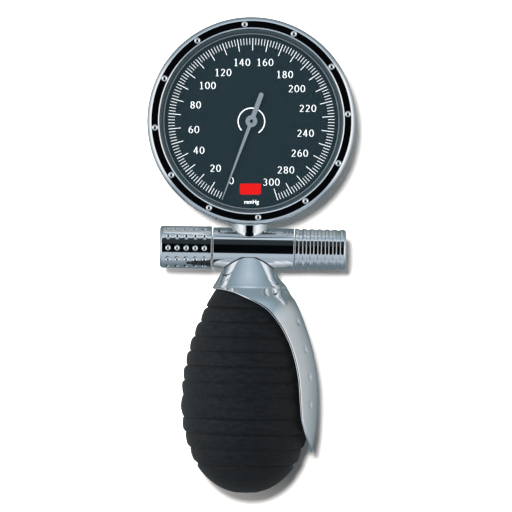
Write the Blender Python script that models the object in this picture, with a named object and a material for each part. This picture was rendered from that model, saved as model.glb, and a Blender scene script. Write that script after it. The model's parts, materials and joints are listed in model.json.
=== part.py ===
"""Palm-type aneroid sphygmomanometer: gauge, cross tube, release valve, hose socket, and a bulb in a spoon.

The unit lies on its back. +Z points out of the dial, +Y runs from the bulb to the gauge, and +X points
out of the hose socket. The origin is on the resting plane, under the middle of the whole outline. Sizes
here are in millimetres and degrees; meshes are made in metres.
"""

import math

import bmesh
import bpy
import numpy as np
from mathutils import Matrix, Vector

MM = 0.001

# Driving dimensions
GAUGE_R = 35.9
BULB_R = 22.8
TUBE_TO_DIAL = 43.8
TUBE_TO_BULB_END = 84.6
TUBE_R = 7.0
GAP = 0.3

# The whole length is centred on the origin, and the bulb and the gauge's back share the resting plane
LENGTH = GAUGE_R + TUBE_TO_DIAL + TUBE_TO_BULB_END
DIAL_Y = LENGTH / 2 - GAUGE_R
TUBE_Y = DIAL_Y - TUBE_TO_DIAL
TUBE_Z = BULB_R

# Gauge levels, from the flat back up
CASE_R = GAUGE_R - 0.5
CASE_INNER_R = CASE_R - 1.6
CASE_FLOOR = 1.6
CASE_SHOULDER = 26.9
CASE_RIM = 28.6
SPIGOT_R = 33.9
SPIGOT_INNER_R = 32.5
BACK_CORNER_R = 4.0
DIAL_LOW = 26.5
DIAL_TOP = 27.3
DIAL_PLATE_R = 32.0
DIAL_SHOWN_R = 30.0
TRIM_LOW = DIAL_TOP + GAP
TRIM_TOP = 29.4
GASKET_LOW = CASE_RIM + GAP
GASKET_TOP = 29.4
GLASS_LOW = GASKET_TOP + GAP
GLASS_TOP = 31.0
GLASS_R = 33.8
BEZEL_TOP = 32.0
LIP_INNER_R = 32.1
DIMPLE_RING_R = 33.3
DIMPLE_R = 1.1
DIMPLE_DEPTH = 0.4
DIMPLE_COUNT = 12
DIMPLE_PHASE = 5.0

# Pointer and its arbor
POINTER_SWEEP = 321.0
POINTER_REST = 270.0 - (360.0 - POINTER_SWEEP) / 2
POINTER_LOW = 28.1
POINTER_TOP = 28.7
POINTER_TIP = 29.0
POINTER_TAIL = 10.5
POINTER_HUB_R = 2.05
ARBOR_R = 0.6
ARBOR_TOP = 29.3

# Movement: a sector turns the pinion on the pointer's arbor
MODULE = 0.18
PINION_TEETH = 12
SECTOR_TEETH = 120
PINION_PITCH_R = MODULE * PINION_TEETH / 2
SECTOR_PITCH_R = MODULE * SECTOR_TEETH / 2
ADDENDUM = 0.6 * MODULE
DEDENDUM = 4 / 3 * MODULE
SECTOR_SWING = POINTER_SWEEP * PINION_TEETH / SECTOR_TEETH
SECTOR_X = PINION_PITCH_R + SECTOR_PITCH_R
SECTOR_LOW = 20.6
SECTOR_TOP = 21.6
LEVER_REACH = 5.5
LEVER_HALF = 0.8
LEVER_GAP = 0.7
BASE_LOW = 12.4
BASE_TOP = 13.4
TOP_LOW = 22.8
TOP_TOP = 24.0
PIVOT_R = 0.5
PIVOT_HOLE_R = 0.62
TOP_PLATE = (-9.5, 17.5, -8.5, 9.0, 3.0)
PILLAR_PLACES = ((-7.0, 6.5), (-7.0, -6.0), (14.5, 6.5))
DIAL_POST_PLACES = ((-4.5, 0.0), (15.0, -4.5))

# Rocking shaft: the capsule's stud lifts its arm, and its finger pushes the sector's lever
ROCKER_Z = 15.3
ROCKER_R = 0.8
FINGER_HALF = 0.6
FINGER_TOP = 22.2
ARM_REACH = 3.6
ARM_HALF = 0.4
ARM_Y = -9.0
LEVER_SHIFT = LEVER_REACH * math.sin(math.radians(SECTOR_SWING / 2))
LEVER_Y = -LEVER_REACH * math.cos(math.radians(SECTOR_SWING / 2))
FINGER_REACH = (SECTOR_LOW + SECTOR_TOP) / 2 - ROCKER_Z
ROCKER_HALF_SWING = math.asin(LEVER_SHIFT / FINGER_REACH)
ROCKER_X = SECTOR_X - LEVER_HALF - LEVER_GAP - FINGER_HALF
STUD_X = ROCKER_X - ARM_REACH
ARM_DROP = ARM_REACH * math.sin(ROCKER_HALF_SWING) + ARM_HALF / math.cos(ROCKER_HALF_SWING)
STUD_REST_TOP = ROCKER_Z - ARM_DROP - GAP

# Capsule under the base plate, fed from below
CAPSULE_R = 18.0
CAPSULE_LOW = 4.5
CAPSULE_TOP = 9.1
CAPSULE_WAVE = 0.6
BOSS_R = 3.0
PIPE_R = 0.9
PIPE_LEVEL = 3.0

# Stem between the tube and the movement
STEM_R = 2.2
STEM_BORE_R = 1.2
NECK_R = 5.9
NECK_FLARE_R = 6.3
BLOCK_HALF_X = 5.0
BLOCK_NEAR = -31.5
BLOCK_FAR = -23.5
BLOCK_TOP = 26.0
BLOCK_SCREW_X = 3.4
BLOCK_MID = (BLOCK_NEAR + BLOCK_FAR) / 2

# Cross tube, release valve and hose socket, along X
BODY_LEFT = -12.6
BODY_RIGHT = 15.5
VALVE_BORE_R = 3.4
HOSE_BORE_R = 2.6
SEAT_X = -3.4
KNOB_LEFT = -31.0
KNOB_RIGHT = BODY_LEFT - 0.4
KNOB_R = 7.4
KNOB_COLUMNS = 5
KNOB_ROWS = 12
KNOB_PITCH = 3.13
KNOB_FIRST = 3.0
KNOB_PHASE = 1.3
KNOB_DIMPLE_R = 0.93
KNOB_DIMPLE_DEPTH = 0.55
SOCKET_RIGHT = 33.5
SOCKET_BORE_R = 4.9
SOCKET_RIBS = 6
SOCKET_RIB_PITCH = 2.6
SOCKET_RIB_DEPTH = 0.3

# Bulb and spoon, by distance below the tube's axis. The spoon's edge is (half angle from +X, distance)
SPOON_WALL = 1.1
CAP_BORE_R = 3.8
CAP_CORNER = 13.8
SPOON_TIP = 69.8
CAP_OUTLINE = (
    (3.0, 4.2),
    (4.2, 5.2),
    (4.7, 7.0),
    (5.6, 7.9),
    (7.5, 8.7),
    (9.6, 10.0),
    (11.3, 11.3),
    (CAP_CORNER, 12.5),
)
SPOON_OUTLINE = (
    (CAP_CORNER, 12.5),
    (18.4, 16.3),
    (25.3, 19.3),
    (32.2, 21.9),
    (39.1, 23.6),
    (46.0, 24.6),
    (53.0, 24.8),
    (60.0, 24.6),
    (66.7, 23.8),
    (SPOON_TIP, 23.2),
)
SPOON_EDGE = (
    (6.0, SPOON_TIP),
    (14.0, 68.7),
    (28.0, 65.1),
    (39.0, 59.0),
    (42.0, 53.0),
    (43.5, 46.0),
    (45.5, 39.0),
    (49.5, 32.0),
    (58.0, 25.3),
    (72.0, 20.1),
    (93.0, 17.0),
    (117.0, 14.9),
    (142.0, 14.1),
    (180.0, CAP_CORNER),
)
BULB_WALL = 2.2
BULB_HOLE_R = 3.9
BULB_TOP = 10.6
BULB_OUTLINE = (
    (13.9, 11.0),
    (18.4, 13.7),
    (24.6, 16.6),
    (30.8, 19.1),
    (37.0, 20.9),
    (46.0, 22.4),
    (54.8, BULB_R),
    (62.0, 22.0),
    (70.0, 19.6),
    (75.0, 17.2),
    (79.4, 13.7),
    (82.3, 10.0),
    (83.8, 7.0),
    (84.6, 4.4),
)
CREASE_DEPTH = 0.45
UPPER_CREASES = [50.9 - 5.08 * i for i in range(7)][::-1]
LOWER_CREASES = [58.8 + 5.35 * i for i in range(4)]
VALVE_R = 3.4
VALVE_CHAMBER_R = 2.3
VALVE_PORT_R = 1.1
BALL_R = 1.8
BALL_REST = math.sqrt(BALL_R**2 - VALVE_PORT_R**2) + 0.1

LARGE = 36
MEDIUM = 24
SMALL = 14
KNOB_SIDES = 24
BULB_SIDES = 32

FINISHES = {
    "chrome": ((0.78, 0.80, 0.82), 1.0, 0.08),
    "dial": ((0.02, 0.038, 0.048), 0.0, 0.5),
    "pointer": ((0.55, 0.62, 0.68), 0.3, 0.4),
    "brass": ((0.72, 0.53, 0.26), 1.0, 0.25),
    "steel": ((0.60, 0.61, 0.62), 1.0, 0.25),
    "bronze": ((0.62, 0.42, 0.25), 1.0, 0.3),
    "rubber": ((0.012, 0.013, 0.015), 0.0, 0.6),
    "glass": ((0.95, 0.97, 0.97), 0.0, 0.03),
}


def clear_scene():
    for item in list(bpy.data.objects):
        bpy.data.objects.remove(item, do_unlink=True)


def finish(item, slot):
    """Give the object its own Principled material."""
    colour, metallic, roughness = FINISHES[slot]
    material = bpy.data.materials.new(f"{item.name}_{slot}")
    material.use_nodes = True
    shader = material.node_tree.nodes["Principled BSDF"]
    shader.inputs["Base Color"].default_value = (*colour, 1.0)
    shader.inputs["Metallic"].default_value = metallic
    shader.inputs["Roughness"].default_value = roughness
    item.data.materials.append(material)


def solid(name, points, faces, slot, place=None):
    """Make one closed mesh from points in millimetres, placed by a matrix in millimetres."""
    mesh = bpy.data.meshes.new(name)
    mesh.from_pydata([Vector(p) * MM for p in points], [], faces)
    work = bmesh.new()
    work.from_mesh(mesh)
    bmesh.ops.recalc_face_normals(work, faces=work.faces)
    work.to_mesh(mesh)
    work.free()
    mesh.shade_smooth()
    mesh.set_sharp_from_angle(angle=math.radians(30))
    item = bpy.data.objects.new(name, mesh)
    bpy.context.collection.objects.link(item)
    if place is not None:
        metres = place.copy()
        metres.translation = place.translation * MM
        item.matrix_world = metres
    if slot is not None:
        finish(item, slot)
    return item


def upright(x=0.0, y=0.0, turn=0.0):
    """Local Z points up, from a point of the resting plane given from the dial's centre."""
    return Matrix.Translation((x, DIAL_Y + y, 0.0)) @ Matrix.Rotation(math.radians(turn), 4, "Z")


def along_tube(turn=0.0):
    """Local Z runs along +X on the tube's axis."""
    spin = Matrix.Rotation(math.radians(turn), 4, "X")
    return Matrix.Translation((0.0, TUBE_Y, TUBE_Z)) @ spin @ Matrix.Rotation(math.pi / 2, 4, "Y")


def down_bulb():
    """Local Z runs down the bulb, from the tube's axis towards -Y, and local X stays +X."""
    return Matrix.Translation((0.0, TUBE_Y, TUBE_Z)) @ Matrix.Rotation(math.pi / 2, 4, "X")


def circle(radius, sides, start=0.0):
    angles = [start + 2 * math.pi * i / sides for i in range(sides)]
    return [(radius * math.cos(a), radius * math.sin(a)) for a in angles]


def arc(centre, radius, first, last, steps):
    """Points of an arc in an outline, by angles in degrees."""
    angles = np.radians(np.linspace(first, last, steps + 1))
    return [(centre[0] + radius * math.cos(a), centre[1] + radius * math.sin(a)) for a in angles]


def turned(name, profile, slot, place, sides=MEDIUM):
    """Turn an outline of (radius, height) about local Z; one with no point on the axis closes on itself."""
    points, rings = [], []
    for radius, height in profile:
        first = len(points)
        if radius == 0:
            points.append((0.0, 0.0, height))
            rings.append([first] * sides)
        else:
            points += [(x, y, height) for x, y in circle(radius, sides)]
            rings.append(list(range(first, first + sides)))
    following = rings[1:] if profile[0][0] == 0 else rings[1:] + rings[:1]
    faces = []
    for low, high in zip(rings, following):
        for i in range(sides):
            j = (i + 1) % sides
            corners = dict.fromkeys((low[i], low[j], high[j], high[i]))
            faces.append(tuple(corners))
    return solid(name, points, faces, slot, place)


def prism(name, outline, low, high, slot, place=None):
    """Extrude a flat outline from one height to another."""
    count = len(outline)
    points = [(x, y, low) for x, y in outline] + [(x, y, high) for x, y in outline]
    faces = [tuple(range(count)), tuple(range(count, 2 * count))]
    faces += [(i, (i + 1) % count, count + (i + 1) % count, count + i) for i in range(count)]
    return solid(name, points, faces, slot, place)


def box(name, low, high, slot, place=None):
    outline = [(low[0], low[1]), (high[0], low[1]), (high[0], high[1]), (low[0], high[1])]
    return prism(name, outline, low[2], high[2], slot, place)


def carve(target, cutter, operation="DIFFERENCE"):
    """Cut one object with another, or join them, and leave the cutter as a guide."""
    cutter.hide_render = True
    cutter.display_type = "WIRE"
    change = target.modifiers.new(cutter.name, "BOOLEAN")
    change.operation = operation
    change.solver = "EXACT"
    change.object = cutter


def drill(target, radius, low, high, place, sides=SMALL):
    """Bore a straight round hole along local Z of a place."""
    name = f"{target.name}_hole_{len(target.modifiers)}"
    carve(target, prism(name, circle(radius, sides), low, high, None, place))


def dimples(name, places, radius, depth, sides=6):
    """One cutter made of a shallow cone at each place, wider just above the surface."""
    points, faces = [], []
    for place in places:
        first = len(points)
        rim = [place @ Vector((x * 1.25, y * 1.25, depth / 4)) for x, y in circle(radius, sides)]
        points += [tuple(p) for p in rim] + [tuple(place @ Vector((0, 0, -depth)))]
        faces.append(tuple(range(first, first + sides)))
        faces += [(first + i, first + (i + 1) % sides, first + sides) for i in range(sides)]
    return solid(name, points, faces, None)


def smooth(points, at):
    """A curve through the points of an outline: cubic, with no overshoot."""
    xs = np.array([p[0] for p in points], float)
    ys = np.array([p[1] for p in points], float)
    slopes = np.diff(ys) / np.diff(xs)
    inner = [2 * a * b / (a + b) if a * b > 0 else 0.0 for a, b in zip(slopes, slopes[1:])]
    ends = [slopes[0], *inner, slopes[-1]]
    k = int(np.clip(np.searchsorted(xs, at) - 1, 0, len(xs) - 2))
    width = xs[k + 1] - xs[k]
    t = min(max((at - xs[k]) / width, 0.0), 1.0)
    rise = (2 * t**3 - 3 * t**2 + 1) * ys[k] + (3 * t**2 - 2 * t**3) * ys[k + 1]
    bend = (t**3 - 2 * t**2 + t) * width * ends[k] + (t**3 - t**2) * width * ends[k + 1]
    return float(rise + bend)


def make_case():
    corner = arc((CASE_R - BACK_CORNER_R, BACK_CORNER_R), BACK_CORNER_R, -90, 0, 4)
    inner_corner_r = BACK_CORNER_R - 1.2
    inner = arc((CASE_INNER_R - inner_corner_r, CASE_FLOOR + inner_corner_r), inner_corner_r, 0, -90, 2)
    profile = [
        (0, 0),
        *corner,
        (CASE_R, CASE_SHOULDER),
        (SPIGOT_R, CASE_SHOULDER),
        (SPIGOT_R, CASE_RIM),
        (SPIGOT_INNER_R, CASE_RIM),
        (SPIGOT_INNER_R, CASE_SHOULDER - 1.5),
        (CASE_INNER_R, CASE_SHOULDER - 2.4),
        *inner,
        (0, CASE_FLOOR),
    ]
    case = turned("gauge_case", profile, "chrome", upright(), LARGE)
    drill(case, STEM_R + 0.4, -30.0, -6.0, down_bulb())


def make_bezel():
    low = CASE_SHOULDER + GAP
    skirt = SPIGOT_R + GAP
    profile = [
        (skirt, low),
        (GAUGE_R - 0.3, low),
        (GAUGE_R, low + 0.4),
        (GAUGE_R, BEZEL_TOP - 1.0),
        (GAUGE_R - 0.3, BEZEL_TOP - 0.3),
        (GAUGE_R - 1.0, BEZEL_TOP),
        (LIP_INNER_R + 0.2, BEZEL_TOP),
        (LIP_INNER_R, BEZEL_TOP - 0.2),
        (LIP_INNER_R, GLASS_TOP + GAP),
        (skirt, GLASS_TOP + GAP),
    ]
    bezel = turned("bezel_ring", profile, "chrome", upright(), LARGE)
    places = []
    for i in range(DIMPLE_COUNT):
        spin = Matrix.Rotation(math.radians(DIMPLE_PHASE + 360 / DIMPLE_COUNT * i), 4, "Z")
        places.append(upright() @ spin @ Matrix.Translation((DIMPLE_RING_R, 0, BEZEL_TOP)))
    carve(bezel, dimples("bezel_dimples", places, DIMPLE_R, DIMPLE_DEPTH))


def make_dial_stack():
    """Trim ring, gasket, glass and dial plate, from the dial up."""
    trim = [
        (DIAL_SHOWN_R, TRIM_LOW),
        (LIP_INNER_R, TRIM_LOW),
        (LIP_INNER_R, TRIM_TOP),
        (LIP_INNER_R - 0.4, TRIM_TOP),
        (DIAL_SHOWN_R, TRIM_LOW + 0.3),
    ]
    turned("trim_ring", trim, "chrome", upright(), LARGE)
    gasket = [
        (SPIGOT_INNER_R + 0.1, GASKET_LOW),
        (GLASS_R - 0.2, GASKET_LOW),
        (GLASS_R - 0.2, GASKET_TOP),
        (SPIGOT_INNER_R + 0.1, GASKET_TOP),
    ]
    turned("glass_gasket", gasket, "rubber", upright(), LARGE)
    glass = [(0, GLASS_LOW), (GLASS_R, GLASS_LOW), (GLASS_R, GLASS_TOP), (0, GLASS_TOP)]
    turned("gauge_glass", glass, "glass", upright(), LARGE)
    dial = [(1.2, DIAL_LOW), (DIAL_PLATE_R, DIAL_LOW), (DIAL_PLATE_R, DIAL_TOP), (1.2, DIAL_TOP)]
    turned("dial_plate", dial, "dial", upright(), LARGE)
    for i, (x, y) in enumerate(DIAL_POST_PLACES, 1):
        post = [(0, TOP_TOP + GAP), (1.2, TOP_TOP + GAP), (1.2, DIAL_LOW - GAP), (0, DIAL_LOW - GAP)]
        turned(f"dial_post_{i}", post, "brass", upright(x, y), 10)


def make_pointer():
    """The needle points along local +X, so it is turned to the scale's zero."""
    needle_start = math.asin(0.65 / POINTER_HUB_R)
    tail_start = math.asin(0.85 / POINTER_HUB_R)
    upper = arc((0, 0), POINTER_HUB_R, math.degrees(needle_start), 180 - math.degrees(tail_start), 6)
    tail = arc((-POINTER_TAIL + 1.0, 0), 1.0, 122, 238, 4)
    lower = [(x, -y) for x, y in reversed(upper)]
    outline = [(POINTER_TIP, -0.15), (POINTER_TIP, 0.15), *upper, *tail, *lower]
    place = upright(turn=POINTER_REST)
    pointer = prism("pointer", outline, POINTER_LOW, POINTER_TOP, "pointer", place)
    drill(pointer, ARBOR_R + GAP, POINTER_LOW - 1, POINTER_TOP + 1, place, 10)


def gear_teeth(pitch_r, teeth, first, last, phase):
    """Trapezoid teeth of a gear, from one tooth number to another, with generous backlash."""
    pitch = 360 / teeth
    outline = []
    for k in range(first, last + 1):
        middle = phase + k * pitch
        for share, radius in ((-0.24, -DEDENDUM), (-0.1, ADDENDUM), (0.1, ADDENDUM), (0.24, -DEDENDUM)):
            angle = math.radians(middle + share * pitch)
            outline.append(((pitch_r + radius) * math.cos(angle), (pitch_r + radius) * math.sin(angle)))
    return outline


def make_arbor():
    """The pinion is in mesh halfway through the sweep, and turned back from there to the rest."""
    place = upright(turn=POINTER_SWEEP / 2)
    shaft = [
        (0, BASE_LOW - 0.2),
        (PIVOT_R, BASE_LOW - 0.2),
        (PIVOT_R, BASE_TOP + GAP),
        (0.75, BASE_TOP + GAP),
        (0.75, TOP_LOW - GAP),
        (ARBOR_R, TOP_LOW - GAP),
        (ARBOR_R, ARBOR_TOP - 0.2),
        (ARBOR_R - 0.2, ARBOR_TOP),
        (0, ARBOR_TOP),
    ]
    arbor = turned("pointer_arbor", shaft, "steel", place, 12)
    teeth = gear_teeth(PINION_PITCH_R, PINION_TEETH, 0, PINION_TEETH - 1, 180 / PINION_TEETH)
    pinion = prism("pinion_teeth", teeth, SECTOR_LOW - 0.3, SECTOR_TOP + 0.3, None, place)
    carve(arbor, pinion, "UNION")


def make_sector():
    """The sector's teeth face the arbor, and its lever points to -Y; both start half a swing back."""
    half_teeth = 7
    place = upright(SECTOR_X, 0, -SECTOR_SWING / 2)
    teeth = gear_teeth(SECTOR_PITCH_R, SECTOR_TEETH, -half_teeth, half_teeth, 180)
    outline = [
        *teeth,
        (-2.2, -2.0),
        (-LEVER_HALF, -2.4),
        (-LEVER_HALF, -LEVER_REACH - 1.2),
        (LEVER_HALF, -LEVER_REACH - 1.2),
        (LEVER_HALF, -2.4),
        *arc((0, 0), 2.4, -45, 90, 4),
        (-2.2, 2.0),
    ]
    gear = prism("sector_gear", outline, SECTOR_LOW, SECTOR_TOP, "brass", place)
    drill(gear, 1.2, SECTOR_LOW - 1, SECTOR_TOP + 1, place, 12)
    shaft = [
        (0, BASE_LOW - 0.2),
        (PIVOT_R, BASE_LOW - 0.2),
        (PIVOT_R, BASE_TOP + GAP),
        (0.9, BASE_TOP + GAP),
        (0.9, TOP_LOW - GAP),
        (PIVOT_R, TOP_LOW - GAP),
        (PIVOT_R, TOP_TOP + 0.2),
        (0, TOP_TOP + 0.2),
    ]
    turned("sector_shaft", shaft, "steel", place, 12)


def make_hairspring():
    """A flat spiral round the arbor, with its outer end at a post."""
    turns, steps = 3.5, 14
    inner, outer, half = 1.4, 5.0, 0.12
    low, high = 17.0, 17.8
    count = int(turns * steps)
    edges = []
    for side in (-half, half):
        row = []
        for i in range(count + 1):
            angle = 2 * math.pi * i / steps
            radius = inner + (outer - inner) * i / count + side
            row.append((radius * math.cos(angle), radius * math.sin(angle)))
        edges.append(row)
    prism("hairspring", edges[0] + edges[1][::-1], low, high, "bronze", upright())
    post = [(0, BASE_TOP + GAP), (0.6, BASE_TOP + GAP), (0.6, high + 0.4), (0, high + 0.4)]
    turned("hairspring_post", post, "brass", upright(-outer - half - 0.6 - GAP, 0), 10)


def make_rocker():
    """Shaft along Y with an arm over the stud and a finger up to the sector's lever."""
    tilt = Matrix.Rotation(-ROCKER_HALF_SWING, 4, "Y")
    place = Matrix.Translation((ROCKER_X, DIAL_Y, ROCKER_Z)) @ tilt
    lying = place @ Matrix.Rotation(-math.pi / 2, 4, "X")
    shaft = prism("rocking_shaft", circle(ROCKER_R, 12), -13.6, -2.3, "steel", lying)
    finger_low = (-FINGER_HALF, LEVER_Y - 0.8, 0.0)
    finger_high = (FINGER_HALF, LEVER_Y + 0.8, FINGER_TOP - ROCKER_Z)
    carve(shaft, box("rocker_finger", finger_low, finger_high, None, place), "UNION")
    arm_low = (-ARM_REACH - 0.9, ARM_Y - 0.9, -ARM_HALF)
    arm_high = (0.0, ARM_Y + 0.9, ARM_HALF)
    carve(shaft, box("rocker_arm", arm_low, arm_high, None, place), "UNION")
    straight = Matrix.Translation((ROCKER_X, DIAL_Y, ROCKER_Z)) @ Matrix.Rotation(-math.pi / 2, 4, "X")
    for i, (near, far) in enumerate(((-13.2, -12.0), (-3.9, -2.7)), 1):
        low = (ROCKER_X - 1.7, DIAL_Y + near, BASE_TOP + GAP)
        high = (ROCKER_X + 1.7, DIAL_Y + far, ROCKER_Z + 1.8)
        bracket = box(f"rocker_bracket_{i}", low, high, "brass")
        drill(bracket, ROCKER_R + 0.2, near - 1, far + 1, straight, 14)


def make_capsule():
    """Two corrugated discs joined at the rim, its boss below and its stud on top."""
    place = upright(STUD_X, ARM_Y)
    middle = (CAPSULE_LOW + CAPSULE_TOP) / 2
    half = (CAPSULE_TOP - CAPSULE_LOW) / 2
    waves = [(0, half), (4.0, half)]
    waves += [(4.0 + 2.0 * i, half - (CAPSULE_WAVE if i % 2 else 0.0)) for i in range(1, 6)]
    waves += [(CAPSULE_R - 2.0, half - 1.3), (CAPSULE_R, 0.25)]
    profile = [(r, middle - h) for r, h in waves] + [(r, middle + h) for r, h in reversed(waves)]
    turned("capsule", profile, "bronze", place, 20)
    boss_low, boss_high = CASE_FLOOR + GAP, CAPSULE_LOW - GAP
    boss = [(0, boss_low), (BOSS_R, boss_low), (BOSS_R, boss_high), (0, boss_high)]
    turned("capsule_boss", boss, "brass", place, 14)
    foot = CAPSULE_TOP + GAP
    stud = [
        (0, foot),
        (2.2, foot),
        (2.2, foot + 0.6),
        (0.8, foot + 0.6),
        (0.8, STUD_REST_TOP - 0.2),
        (0.5, STUD_REST_TOP),
        (0, STUD_REST_TOP),
    ]
    turned("capsule_stud", stud, "brass", place, 12)


def rounded_rectangle(left, right, near, far, corner, steps=3):
    """An outline with round corners, from its four sides and the corners' radius."""
    outline = []
    for x, y, start in (
        (right - corner, far - corner, 0),
        (left + corner, far - corner, 90),
        (left + corner, near + corner, 180),
        (right - corner, near + corner, 270),
    ):
        outline += arc((x, y), corner, start, start + 90, steps)
    return outline


def make_plates():
    """The base plate reaches back under the stem block; the top plate carries the upper pivots."""
    plate_r, tongue = 17.0, 6.0
    leave = math.degrees(math.asin(tongue / plate_r))
    outline = arc((0, 0), plate_r, -90 + leave, 270 - leave, 20)
    outline += [(-tongue, BLOCK_NEAR + 0.8), (tongue, BLOCK_NEAR + 0.8)]
    base = prism("movement_base_plate", outline, BASE_LOW, BASE_TOP, "brass", upright())
    drill(base, 1.5, BASE_LOW - 1, BASE_TOP + 1, upright(STUD_X, ARM_Y))
    top = prism("movement_top_plate", rounded_rectangle(*TOP_PLATE), TOP_LOW, TOP_TOP, "brass", upright())
    drill(top, ARBOR_R + 0.14, TOP_LOW - 1, TOP_TOP + 1, upright())
    drill(base, PIVOT_HOLE_R, BASE_LOW - 1, BASE_TOP + 1, upright())
    for plate, low, high in ((base, BASE_LOW, BASE_TOP), (top, TOP_LOW, TOP_TOP)):
        drill(plate, PIVOT_HOLE_R, low - 1, high + 1, upright(SECTOR_X, 0))
    for i, (x, y) in enumerate(PILLAR_PLACES, 1):
        socket = TOP_LOW - 2.8
        pillar = [
            (0, BASE_TOP + GAP),
            (1.4, BASE_TOP + GAP),
            (1.4, TOP_LOW - GAP),
            (0.95, TOP_LOW - GAP),
            (0.95, socket),
            (0, socket),
        ]
        turned(f"movement_pillar_{i}", pillar, "brass", upright(x, y), 12)
        screw = [
            (0, socket + GAP),
            (0.65, socket + GAP),
            (0.65, TOP_TOP + GAP),
            (1.3, TOP_TOP + GAP),
            (1.3, TOP_TOP + 1.0),
            (0, TOP_TOP + 1.0),
        ]
        turned(f"pillar_screw_{i}", screw, "steel", upright(x, y), 12)
        drill(top, 0.95, TOP_LOW - 1, TOP_TOP + 1, upright(x, y), 12)
    return base


def make_stem(base):
    """Air path from the tube to the capsule: stem tube, block and pipe."""
    low = (-BLOCK_HALF_X, BLOCK_NEAR + DIAL_Y, BASE_TOP + GAP)
    high = (BLOCK_HALF_X, BLOCK_FAR + DIAL_Y, BLOCK_TOP)
    block = box("stem_block", low, high, "brass")
    stem_end = TUBE_TO_DIAL + BLOCK_MID + 1.5
    drill(block, STEM_R + GAP, -stem_end - 1.0, 0.0, down_bulb())
    pipe_z = 17.5
    drill(block, 1.0, pipe_z, TUBE_Z, upright(0, BLOCK_MID), 10)
    sideways = Matrix.Translation((0, DIAL_Y + BLOCK_MID, pipe_z)) @ Matrix.Rotation(math.pi / 2, 4, "Y")
    drill(block, PIPE_R + GAP, 0.0, BLOCK_HALF_X + 1, sideways, 10)
    head_top = BASE_LOW - GAP
    for i, x in enumerate((-BLOCK_SCREW_X, BLOCK_SCREW_X), 1):
        place = upright(x, BLOCK_MID + (3.0 if x > 0 else 0.0))
        drill(base, 0.95, BASE_LOW - 1, BASE_TOP + 1, place, 12)
        drill(block, 0.95, BASE_TOP - 1, pipe_z - 2.2, place, 12)
        screw = [
            (0, head_top - 0.8),
            (1.5, head_top - 0.8),
            (1.5, head_top),
            (0.65, head_top),
            (0.65, pipe_z - 2.5),
            (0, pipe_z - 2.5),
        ]
        turned(f"block_screw_{i}", screw, "steel", place, 12)
    tube = [
        (STEM_BORE_R, -stem_end),
        (STEM_R, -stem_end),
        (STEM_R, -HOSE_BORE_R - GAP),
        (STEM_BORE_R, -HOSE_BORE_R - GAP),
    ]
    turned("stem_tube", tube, "brass", down_bulb(), SMALL)
    make_pipe(pipe_z)


def make_pipe(pipe_z):
    """A bent tube from the block down past the base plate and under the capsule to its boss."""
    route = [
        (2.2, BLOCK_MID, pipe_z),
        (5.6, BLOCK_MID, pipe_z),
        (10.0, BLOCK_MID, pipe_z - 1.2),
        (12.6, BLOCK_MID, 12.5),
        (13.0, BLOCK_MID, 8.0),
        (12.4, BLOCK_MID + 1.2, 4.4),
        (11.2, BLOCK_MID + 4.5, PIPE_LEVEL),
        (STUD_X, ARM_Y - 3.3, PIPE_LEVEL),
    ]
    points = [Vector(p) for p in route]
    padded = [2 * points[0] - points[1], *points, 2 * points[-1] - points[-2]]
    path = []
    for a, b, c, d in zip(padded, padded[1:], padded[2:], padded[3:]):
        for i in range(3):
            t = i / 3
            spread = (2 * a - 5 * b + 4 * c - d) * t**2 + (3 * b - a - 3 * c + d) * t**3
            path.append((2 * b + (c - a) * t + spread) / 2)
    path.append(points[-1])
    curve = bpy.data.curves.new("pressure_pipe", "CURVE")
    curve.dimensions = "3D"
    curve.bevel_depth = PIPE_R * MM
    curve.bevel_resolution = 1
    curve.use_fill_caps = True
    spline = curve.splines.new("POLY")
    spline.points.add(len(path) - 1)
    for point, at in zip(spline.points, path):
        point.co = (at.x * MM, (at.y + DIAL_Y) * MM, at.z * MM, 1.0)
    pipe = bpy.data.objects.new("pressure_pipe", curve)
    bpy.context.collection.objects.link(pipe)
    finish(pipe, "brass")


def tube_cutter(name):
    """The tube's outside with a gap, for the saddles that sit on it."""
    return prism(name, circle(TUBE_R + GAP, LARGE), -20.0, 20.0, None, along_tube())


def make_neck():
    far = -(TUBE_TO_DIAL - GAUGE_R - GAP)
    profile = [
        (STEM_R + 0.4, -3.0),
        (NECK_R, -3.0),
        (NECK_R, far + 1.2),
        (NECK_FLARE_R, far + 0.5),
        (NECK_FLARE_R, far),
        (STEM_R + 0.4, far),
    ]
    neck = turned("neck_collar", profile, "chrome", down_bulb())
    carve(neck, tube_cutter("neck_saddle"))


def make_tube_body():
    """The body's bore steps at the valve seat; cross bores lead to the gauge and to the bulb."""
    profile = [
        (VALVE_BORE_R, BODY_LEFT),
        (TUBE_R - 0.3, BODY_LEFT),
        (TUBE_R, BODY_LEFT + 0.3),
        (TUBE_R, BODY_RIGHT - 0.2),
        (TUBE_R - 0.2, BODY_RIGHT),
        (HOSE_BORE_R, BODY_RIGHT),
        (HOSE_BORE_R, SEAT_X),
        (VALVE_BORE_R, SEAT_X),
    ]
    body = turned("tube_body", profile, "chrome", along_tube(), 28)
    drill(body, STEM_R + GAP, -9.0, -1.0, down_bulb())
    drill(body, VALVE_R + GAP, 1.0, 9.0, down_bulb())


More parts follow.
